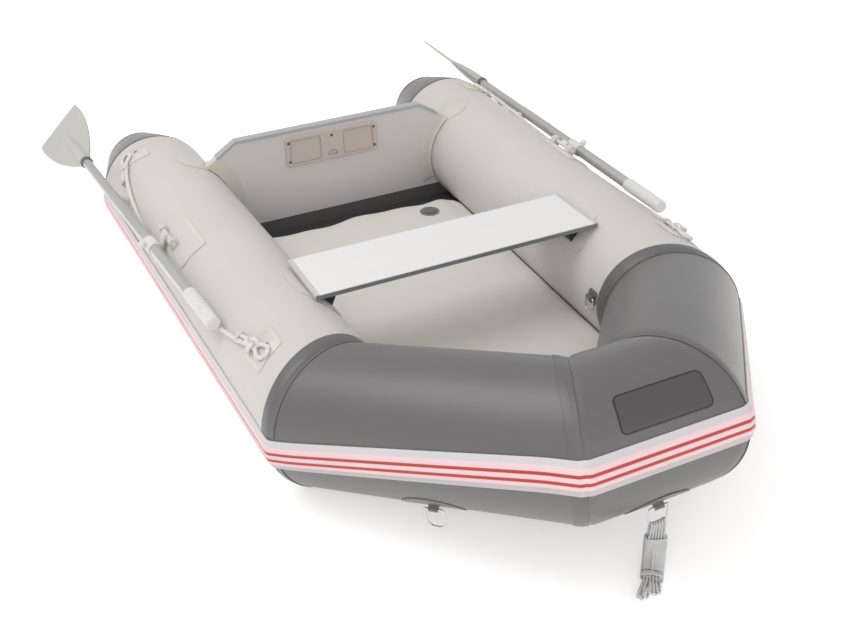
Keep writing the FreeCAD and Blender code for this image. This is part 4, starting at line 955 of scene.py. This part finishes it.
grabRope = {"radius": 0.006, "lift": 0.0081, "gap": 0.0128,
            "route": [(-0.362, 40.0), (-0.322, 43.5), (-0.262, 49.0), (-0.197, 53.5), (-0.127, 57.0),
                      (-0.047, 59.5), (0.033, 61.5), (0.113, 63.0), (0.193, 63.8), (0.273, 63.9),
                      (0.353, 63.2), (0.433, 61.5), (0.503, 59.0), (0.573, 56.0), (0.633, 52.5),
                      (0.693, 48.0), (0.748, 42.5), (0.793, 36.5)],
            "eye": [(0.000, 0.000), (0.012, -0.006), (0.027, -0.014), (0.043, -0.010), (0.048, 0.006),
                    (0.037, 0.019), (0.018, 0.0170), (0.000, 0.0130), (-0.020, 0.0128), (-0.045, 0.0125),
                    (-0.085, 0.0115)],
            "step": 0.0022, "eyeStep": 0.002, "eyeRadius": 0.97, "lashings": (-0.016, -0.074), "lashTurns": 5,
            "lashPitch": 0.0030, "lashWide": 0.0136, "lashHigh": 0.0074, "turnSteps": 16, "yarn": 0.0013,
            "knot": -0.014, "knotAlong": 0.0062, "knotAcross": 0.0055, "knotHigh": 0.006, "knotLift": 0.005,
            "knotRadius": 0.9, "knotSteps": 90}
ropePoints = [skinPoint(sideRun, distanceAtY(y), angle, grabRope["lift"]) for y, angle in grabRope["route"]]
ropeLine = splineLine("grab_rope_line", ropePoints)


def besideRope(end, inner, ahead, across, lift):
    # a place near the rope's end: ahead along its last run, across it over the skin, at a height
    reach = hull["radius"] + grabRope["lift"]
    run = Vector((end[0] - inner[0], math.radians(end[1] - inner[1]) * reach)).normalized()
    y = end[0] + run.x * ahead - run.y * across
    angle = end[1] + math.degrees((run.y * ahead + run.x * across) / reach)
    return skinPoint(sideRun, distanceAtY(y), angle, lift)


def addMesh(bm, other):
    # another mesh's parts moved into this one
    mesh = bpy.data.meshes.new("part")
    other.to_mesh(mesh)
    other.free()
    bm.from_mesh(mesh)
    bpy.data.meshes.remove(mesh)


def ropeEye(end, inner, knot):
    # the rope's end led through an eyelet and back beside itself, lashed twice
    line = splineLine("eye_line", [besideRope(end, inner, ahead, across, grabRope["lift"])
                                   for ahead, across in grabRope["eye"]])
    bm = ropeMesh(spacedLine(line, grabRope["eyeStep"]), grabRope["radius"] * grabRope["eyeRadius"])
    middle, steps = grabRope["gap"] / 2, grabRope["turnSteps"]
    for start in grabRope["lashings"]:
        turns = []
        for index in range(grabRope["lashTurns"] * steps + 1):
            turn = math.tau * index / steps
            turns.append(besideRope(end, inner, start - grabRope["lashPitch"] * index / steps,
                                    middle + grabRope["lashWide"] * math.cos(turn),
                                    grabRope["lift"] + grabRope["lashHigh"] * math.sin(turn)))
        addMesh(bm, ropeMesh(turns, grabRope["yarn"], 2, 0.006, 0.1, 6))
    if knot:
        loops = []
        for index in range(grabRope["knotSteps"] + 1):
            turn = math.tau * index / grabRope["knotSteps"]
            ahead = knot + grabRope["knotAlong"] * (math.sin(turn) + 2 * math.sin(2 * turn))
            across = middle + grabRope["knotAcross"] * (math.cos(turn) - 2 * math.cos(2 * turn))
            height = grabRope["lift"] + grabRope["knotLift"] - grabRope["knotHigh"] * math.sin(3 * turn)
            loops.append(besideRope(end, inner, ahead, across, height))
        addMesh(bm, ropeMesh(loops, grabRope["radius"] * grabRope["knotRadius"]))
    return bm


route = grabRope["route"]
for side, sign in (("right", 1), ("left", -1)):
    line = [Vector((p.x * sign, p.y, p.z)) for p in ropeLine]
    path = spacedLine(line, grabRope["step"])
    rope = finishPiece(ropeMesh(path, grabRope["radius"]), "grab_rope_cover_" + side, ropeYarn, slot="rope",
                       replaces=["grab_rope_" + side])
    for place, end, inner, knot in (("bow", route[0], route[1], grabRope["knot"]),
                                    ("stern", route[-1], route[-2], 0)):
        eye = ropeEye(end, inner, knot)
        if sign < 0:
            bmesh.ops.scale(eye, vec=(-1, 1, 1), verts=eye.verts)
            bmesh.ops.reverse_faces(eye, faces=eye.faces)
        finishPiece(eye, "grab_rope_eye_" + place + "_" + side, ropeYarn, slot="rope")


# the hanked tow rope

hank = {"bar": (0.010, -1.087, 0.11565), "lay": (-0.63, -0.78, 0.0), "ground": 0.0128, "bend": 0.034,
        "flat": 0.070, "cord": 0.0050, "pitch": 0.0062, "columns": 6, "layer": 0.0050,
        "loops": (0.006, 0.012, 0.010, 0.024, 0.030, 0.036), "splay": 0.5,
        "wraps": ((0.130, 2), (0.034, 19)), "wrapPitch": 0.0047, "wrapWide": 0.0218, "wrapDeep": 0.0108,
        "wrapSquare": 0.65, "steps": 14, "step": 0.0026, "leave": 0.006, "overBar": 6, "turnDown": 0.030,
        "splayFrom": 0.150, "splayOver": 0.04}


def hankSpot(s, u, v):
    # s down the bundle from the ring, u across it and v through it
    lay = Vector(hank["lay"]).normalized()
    across = lay.cross(up)
    bar = Vector(hank["bar"])
    down = bar.z - hank["ground"] - hank["bend"]
    arc = hank["bend"] * math.pi / 2
    share = min(max(s / down, 0.0), 1.0)
    wide = (Vector((-1, 0, 0)) * (1 - share) + across * share).normalized()
    if s <= down:
        return bar - up * s + wide * u + wide.cross(-up) * v
    turn = min((s - down) / hank["bend"], math.pi / 2)
    centre = bar - up * down + lay * hank["bend"]
    rise = lay * -math.cos(turn) - up * math.sin(turn)
    past = max(0.0, s - down - arc)
    return centre + rise * (hank["bend"] - v) + lay * past + wide * u


def spreadOut(u, s):
    # the columns come apart a little near the ends of their loops
    return u * (1 + hank["splay"] * max(0.0, (s - hank["splayFrom"]) / hank["splayOver"]))


def hankPoints():
    # over the ring's bar and back for every column, then two sets of wraps round the bundle
    bar = Vector(hank["bar"])
    total = bar.z - hank["ground"] - hank["bend"] + hank["bend"] * math.pi / 2 + hank["flat"]
    layer, steps, points = hank["layer"], hank["steps"], []
    for column in range(hank["columns"]):
        u = (column - (hank["columns"] - 1) / 2) * hank["pitch"]
        rise = max(0.0, abs(u) - 0.006) ** 2 / 0.034        # the bar is the outside of a bent ring
        end = total + hank["loops"][column] - hank["turnDown"]
        spots = [end * (1 - index / steps) for index in range(steps)]
        spots = [s for s in spots if s > hank["leave"]]
        points += [(s, spreadOut(u, s), layer) for s in spots]
        for index in range(1, hank["overBar"]):
            turn = math.pi * index / hank["overBar"]
            points.append((-layer * math.sin(turn) - rise, u, layer * math.cos(turn)))
        points += [(s, spreadOut(u, s), -layer) for s in reversed(spots)]
        if column < hank["columns"] - 1:
            points.append((end + 0.006, spreadOut(u, end) + hank["pitch"] * 0.3, -layer * 0.6))
            points.append((end + 0.006, spreadOut(u, end) + hank["pitch"] * 0.7, layer * 0.6))
    for place, turns in hank["wraps"]:
        for index in range(turns * steps + 1):
            turn = math.tau * index / steps - math.pi / 2
            cos, sin = math.cos(turn), math.sin(turn)
            points.append((place + hank["wrapPitch"] * index / steps,
                           math.copysign(abs(cos) ** hank["wrapSquare"], cos) * hank["wrapWide"],
                           math.copysign(abs(sin) ** hank["wrapSquare"], sin) * hank["wrapDeep"]))
    return [hankSpot(*point) for point in points]


hankLine = splineLine("hank_line", hankPoints())
hankPath = spacedLine(hankLine, hank["step"])
# the coil's yarn is painted lighter to make up for the shade under the bow
hankRope = finishPiece(ropeMesh(hankPath, hank["cord"] / 2, 4, 0.018, 0.16, 10), "tow_rope_coil", hankYarnPaintedLight,
                       body="tow_ring_nose", slot="rope", replaces=["tow_rope_hank"])


# the blank panel on the nose, the pads with their lines and eyelets, the thwart's channel, the valve's weld

def gluedPad(name, corners, radius, thickness, place, material, run=sideRun, lift=0.0003):
    pad = wrapPad(padMesh(corners, radius, thickness), run, *place, lift=lift)
    return sharpen(finishPiece(pad, name, material, slot="patch"))


def lineRing(corners, radius, width, height):
    # a raised line that runs round an outline
    bm = bmesh.new()
    faces = roundPolygon(bm, corners, radius)
    faceUp(bm, faces)
    insetFaces(bm, faces, width)
    bmesh.ops.delete(bm, geom=faces, context="FACES")
    top = bmesh.ops.extrude_face_region(bm, geom=bm.faces[:])["geom"]
    bmesh.ops.translate(bm, vec=(0, 0, height), verts=onlyVerts(top))
    bmesh.ops.recalc_face_normals(bm, faces=bm.faces)
    return bm


def insetCorners(corners, amount):
    # the same outline, drawn in by the same amount along both axes
    middleX = (max(x for x, y in corners) + min(x for x, y in corners)) / 2
    middleY = (max(y for x, y in corners) + min(y for x, y in corners)) / 2
    return [(x - math.copysign(amount, x - middleX), y - math.copysign(amount, y - middleY))
            for x, y in corners]


motorPad = {"y": 0.648, "z": 0.291, "offset": 0.088, "halfWide": 0.0506, "halfHigh": 0.0386, "line": 0.0016,
            "moon": (0.0, -0.033, 0.0155), "proud": 0.0006, "round": 0.007}


def padLines():
    # the raised outlines of both pockets and of the half moon between them
    wide, high = motorPad["halfWide"], motorPad["halfHigh"]
    whole = bmesh.new()
    for sign in (-1, 1):
        box = [(sign * motorPad["offset"] + x * wide, y * high)
               for x, y in ((-1, -1), (1, -1), (1, 1), (-1, 1))]
        addMesh(whole, lineRing(box, motorPad["round"], motorPad["line"], motorPad["proud"]))
    moonX, moonY, moonRadius = motorPad["moon"]
    turns = [math.radians(turn) for turn in range(0, 181, 10)]
    arc = [(moonX + moonRadius * math.cos(turn), moonY + moonRadius * math.sin(turn)) for turn in turns]
    addMesh(whole, lineRing(arc, 0, motorPad["line"], motorPad["proud"]))
    for vert in whole.verts:
        x, y, z = vert.co
        vert.co = Vector((x, motorPad["y"] - z, motorPad["z"] + y))
    return whole


lineBm = padLines()
bmesh.ops.recalc_face_normals(lineBm, faces=lineBm.faces)
sharpen(finishPiece(lineBm, "motor_pad_lines", padShade, slot="patch"))


def padBorder(name, corners, inset, radius, place, lift):
    # a raised line inside a pad's outline, on both sides of the boat
    bm = lineRing(insetCorners(corners, inset), radius, borderLine["width"], borderLine["height"])
    wrapPad(bm, sideRun, *place, lift=lift)
    mirrorPiece(sharpen(finishPiece(bm, name + "_right", padEdge, slot="patch")), name + "_left")


borderLine = {"width": 0.0022, "height": 0.0007}
lockPad = {"y": 0.2827, "angle": 37.5, "inset": 0.008, "round": 0.010, "lift": 0.0027,
           "corners": [(-0.050, -0.148), (0.048, -0.148), (0.048, 0.104), (-0.050, 0.024)]}
padBorder("oarlock_pad_line", lockPad["corners"], lockPad["inset"], lockPad["round"],
          (distanceAtY(lockPad["y"]), lockPad["angle"]), lockPad["lift"])


panel = {"corners": [(-0.039, -0.099), (0.039, -0.109), (0.039, 0.104), (-0.039, 0.103)], "inset": 0.0035,
         "place": (0.118, 40.3), "edgeRound": 0.014, "edgeHigh": 0.0005, "faceRound": 0.011,
         "faceHigh": 0.0004, "faceLift": 0.0009}
gluedPad("nose_panel_edge", panel["corners"], panel["edgeRound"], panel["edgeHigh"], panel["place"], panelInk,
         noseRun)
gluedPad("nose_panel_face", [(x - math.copysign(panel["inset"], x), y - math.copysign(panel["inset"], y))
                             for x, y in panel["corners"]], panel["faceRound"], panel["faceHigh"],
         panel["place"], panelFill, noseRun, panel["faceLift"])

plank = {"half": 0.3935, "foreY": -0.256, "low": 0.3125, "high": 0.3235, "proud": 0.0006}
channel = bmesh.new()
bmesh.ops.create_cube(channel, size=1.0)
channelSize = (2 * plank["half"], plank["proud"], plank["high"] - plank["low"])
channelSpot = (0, plank["foreY"] - plank["proud"] / 2, (plank["high"] + plank["low"]) / 2)
bmesh.ops.scale(channel, vec=channelSize, verts=channel.verts)
bmesh.ops.translate(channel, vec=channelSpot, verts=channel.verts)
finishPiece(channel, "thwart_edge_channel", edgeMetal, slot="aluminium", smooth=False)

floorSeen = airFloor.evaluated_get(bpy.context.evaluated_depsgraph_get())
weldRing = lineRing(ellipseCorners(valve["ring"], valve["ring"], 48), 0, valve["width"], valve["height"])
for vert in weldRing.verts:
    x, y = valve["spot"][0] + vert.co.x, valve["spot"][1] + vert.co.y
    hit, spot, normal, index = floorSeen.ray_cast((x, y, 0.4), (0, 0, -1))
    vert.co = Vector((x, y, (spot.z if hit else floor["top"]) + vert.co.z - 0.0002))
finishPiece(weldRing, "floor_valve_weld", floorCloth, slot="patch")

eyelets = {"spread": 0.014, "outer": 0.009, "inner": 0.0045, "height": 0.0032, "lift": 0.0006,
           "holeLift": 0.0022, "holeDeep": 0.0010, "padRound": 0.012, "padHigh": 0.0016, "lineIn": 0.007,
           "lineRound": 0.009, "lineLift": 0.0020}
ropePads = {"bow": {"corners": [(-0.048, -0.026), (0.043, -0.049), (0.043, 0.037), (-0.048, 0.057)],
                    "y": -0.375, "angle": 36.0},
            "stern": {"corners": [(-0.048, -0.057), (0.043, -0.037), (0.043, 0.049), (-0.048, 0.026)],
                      "y": 0.826, "angle": 27.0}}


def eyeletRing(outer, inner, height):
    # a turned grommet, its section spun once about its own axis
    bm = bmesh.new()
    section = [(inner, 0.0), (outer, 0.0), (outer - 0.0006, height * 0.7), (outer - 0.0016, height),
               (inner + 0.0012, height), (inner, height * 0.6)]
    verts = [bm.verts.new((radius, 0, level)) for radius, level in section]
    edges = [bm.edges.new((verts[i - 1], verts[i])) for i in range(len(verts))]
    bmesh.ops.spin(bm, geom=verts + edges, cent=(0, 0, 0), axis=(0, 0, 1), dvec=(0, 0, 0), angle=math.tau,
                   steps=32, use_merge=True)
    bmesh.ops.recalc_face_normals(bm, faces=bm.faces)
    return bm


for end, pad in ropePads.items():
    place = (distanceAtY(pad["y"]), pad["angle"])
    padBorder("rope_pad_line_" + end, pad["corners"], eyelets["lineIn"], eyelets["lineRound"], place,
              eyelets["lineLift"])
    sheet = gluedPad("rope_pad_" + end + "_right", pad["corners"], eyelets["padRound"], eyelets["padHigh"],
                     place, padPlastic)
    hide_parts("rope_pads_" + end)
    mirrorPiece(sheet, "rope_pad_" + end + "_left")
    rings, holes = bmesh.new(), bmesh.new()
    for sign in (-1, 1):
        ring = eyeletRing(eyelets["outer"], eyelets["inner"], eyelets["height"])
        aside = sign * eyelets["spread"]
        bmesh.ops.translate(ring, vec=(aside, 0, eyelets["lift"]), verts=ring.verts)
        addMesh(rings, ring)
        bmesh.ops.create_cone(holes, cap_ends=True, segments=24, radius1=eyelets["inner"],
                              radius2=eyelets["inner"], depth=eyelets["holeDeep"],
                              matrix=Matrix.Translation((aside, 0, eyelets["holeLift"])))
    for name, parts, material in (("eyelets", rings, creamPlastic), ("eyelet_holes", holes, holeShade)):
        piece = finishPiece(wrapPad(parts, sideRun, *place), "_".join((name, end, "right")), material,
                            slot="patch")
        mirrorPiece(sharpen(piece), "_".join((name, end, "left")))
print("pads made")


# the bottom cloth, stretched between the tubes

def bottomHalf(y, level):
    # half width of the sheet where it meets the tubes at this place
    low, high = 0.0, hull["sideBow"][0]
    for _ in range(18):
        middle = (low + high) / 2
        near = tubeDistance(Vector((middle, y, level)))
        if near and near[0] < hull["radius"] + bottom["gap"]:
            high = middle
        else:
            low = middle
    return low


bottom = {"aftY": 0.676, "foreY": -0.812, "rows": 96, "columns": 36, "thickness": 0.0022, "gap": 0.0012,
          "sag": 0.002, "sagShare": 0.3, "rise": 0.11, "lap": 0.02}


def bottomMesh():
    bm = bmesh.new()
    bmesh.ops.create_grid(bm, x_segments=bottom["columns"], y_segments=bottom["rows"], size=1.0)
    for vert in bm.verts:
        share, spot = vert.co.x, (vert.co.y + 1) / 2
        y = bottom["foreY"] + (bottom["aftY"] - bottom["foreY"]) * spot
        level = floor["bottom"] + sweepUp(y, 0.0)
        sag = bottom["sag"] * (1 - share * share) * (1 + 0.6 * noise.noise(Vector((share * 3, y * 4, 0.0))))
        height = level + bottom["thickness"] - sag * bottom["sagShare"]
        vert.co = Vector((share * bottomHalf(y, level), y, height))
    mapPlan(bm)
    return bm


bottomBm = bottomMesh()
bottomArea = sum(face.calc_area() for face in bottomBm.faces)
bottomSheet = finishPiece(bottomBm, "hull_bottom_cloth", bottomCloth, slot="bottom_fabric",
                          replaces=["hull_bottom"])
solidify(bottomSheet, bottom["thickness"])


# finishes of the solid parts

finishes = {
    "transom_board": panelBoard, "transom_trim": greyRubber, "transom_sill": blackRubber,
    "motor_pad_inner": beigePlastic, "motor_pad_outer": beigePlastic, "motor_pad_screws": darkSteel,
    # the supports' near black is partly painted shade of the gap under the thwart's ends
    "thwart_board": plankMetal, "thwart_end_caps": capPlastic, "thwart_supports": supportBlackAndShade,
    "thwart_patches": paleCloth, "oarlock_bases": padPlastic, "oar_cradles": creamPlastic,
    "tow_ring_patches": darkCloth, "tow_ring_nose": steel, "inner_ring": steel, "chamber_baffles": paleCloth,
    "floor_valve_body": greyPlastic, "floor_valve_cap": greyPlastic, "tube_valve_bodies": greyPlastic,
    "tube_valve_cap_right": greyPlastic, "tube_valve_cap_left": greyPlastic,
    "tube_valve_cap_bow": greyPlastic,
}
for side in ("right", "left"):
    finishes.update({
        "oarlock_tee_" + side: whitePlastic, "oarlock_knob_" + side: whitePlastic,
        "oar_collar_" + side: whitePlastic, "oar_grip_" + side: whitePlastic,
        "oar_ferrule_" + side: greyPlastic, "oar_blade_" + side: bladePlastic,
        "oar_button_" + side: steel, "tow_ring_" + side: steel, "oar_handle_tube_" + side: shaftMetal,
        "oar_tail_tube_" + side: shaftMetal})
for name, material in finishes.items():
    mesh = nodes[name].data
    mesh.materials.clear()
    mesh.materials.append(material)
print("solid parts finished")


# room, light and camera

room = {"floorSize": 40.0, "world": 0.66, "glow": 0.42, "cameraSpot": (-1.0967395, -2.4341626, 1.6786299),
        "yaw": 0.4177190, "pitch": -0.5522900, "roll": -0.0391993, "lens": 47.24, "shiftX": 0.00894,
        "shiftY": -0.01074}

ground = bpy.data.meshes.new("ground")
bm = bmesh.new()
bmesh.ops.create_grid(bm, x_segments=1, y_segments=1, size=room["floorSize"] / 2)
bm.to_mesh(ground)
bm.free()
groundPiece = bpy.data.objects.new("ground", ground)
bpy.context.scene.collection.objects.link(groundPiece)
groundMaterial, tree, shader = newMaterial("paleGround")
shader.inputs["Base Color"].default_value = (0.95, 0.93, 0.92, 1)
shader.inputs["Roughness"].default_value = 0.9
shader.inputs["Specular IOR Level"].default_value = 0.1
ways = addNode(tree, "ShaderNodeLightPath")
anyWay = addNode(tree, "ShaderNodeMath", operation="MAXIMUM")
anySight = addNode(tree, "ShaderNodeMath", operation="MAXIMUM")
strength = addNode(tree, "ShaderNodeMath", {1: room["glow"]}, operation="MULTIPLY")
tree.links.new(ways.outputs["Is Camera Ray"], anyWay.inputs[0])
tree.links.new(ways.outputs["Is Glossy Ray"], anyWay.inputs[1])
tree.links.new(anyWay.outputs[0], anySight.inputs[0])
tree.links.new(ways.outputs["Is Transmission Ray"], anySight.inputs[1])
tree.links.new(anySight.outputs[0], strength.inputs[0])
shader.inputs["Emission Color"].default_value = (1, 1, 1, 1)
tree.links.new(strength.outputs[0], shader.inputs["Emission Strength"])
ground.materials.append(groundMaterial)

world = bpy.data.worlds.new("studio")
bpy.context.scene.world = world
world.use_nodes = True
tree = world.node_tree
tree.nodes.clear()
output = addNode(tree, "ShaderNodeOutputWorld")
plain = addNode(tree, "ShaderNodeBackground", {"Color": (1, 1, 1, 1), "Strength": room["world"]})
seen = addNode(tree, "ShaderNodeBackground", {"Color": (1, 1, 1, 1), "Strength": 1.0})
mix = addNode(tree, "ShaderNodeMixShader")
ways = addNode(tree, "ShaderNodeLightPath")
tree.links.new(ways.outputs["Is Camera Ray"], mix.inputs[0])
tree.links.new(plain.outputs[0], mix.inputs[1])
tree.links.new(seen.outputs[0], mix.inputs[2])
tree.links.new(mix.outputs[0], output.inputs["Surface"])


def addLamp(name, spot, target, size, power):
    lamp = bpy.data.lights.new(name, "AREA")
    lamp.shape, lamp.size, lamp.energy = "SQUARE", size, power
    holder = bpy.data.objects.new(name, lamp)
    bpy.context.scene.collection.objects.link(holder)
    holder.location = spot
    holder.rotation_mode = "QUATERNION"
    holder.rotation_quaternion = (Vector(target) - Vector(spot)).to_track_quat("-Z", "Y")


addLamp("key", (-2.2, 1.0, 4.6), (0, 0, 0.1), 3.2, 90)
addLamp("fill", (-2.2, -4.2, 2.6), (0, -0.4, 0.2), 3.2, 46)
addLamp("low", (1.0, -4.4, 0.9), (0, -0.9, 0.1), 2.4, 16)

camera = bpy.data.objects.new("camera", bpy.data.cameras.new("camera"))
bpy.context.scene.collection.objects.link(camera)
camera.data.lens, camera.data.sensor_width = room["lens"], 36.0
camera.data.shift_x, camera.data.shift_y = room["shiftX"], room["shiftY"]
camera.data.clip_start, camera.data.clip_end = 0.05, 100
yaw, pitch, roll = room["yaw"], room["pitch"], room["roll"]
ahead = Vector((math.sin(yaw) * math.cos(pitch), math.cos(yaw) * math.cos(pitch), math.sin(pitch)))
right = Vector((math.cos(yaw), -math.sin(yaw), 0))
above = right.cross(ahead)
rolledRight = right * math.cos(roll) + above * math.sin(roll)
rolledUp = above * math.cos(roll) - right * math.sin(roll)
pose = Matrix((rolledRight, rolledUp, -ahead)).transposed().to_4x4()
pose.translation = room["cameraSpot"]
camera.matrix_world = pose
bpy.context.scene.camera = camera
bpy.context.scene.view_settings.view_transform = "Standard"
print("room made")
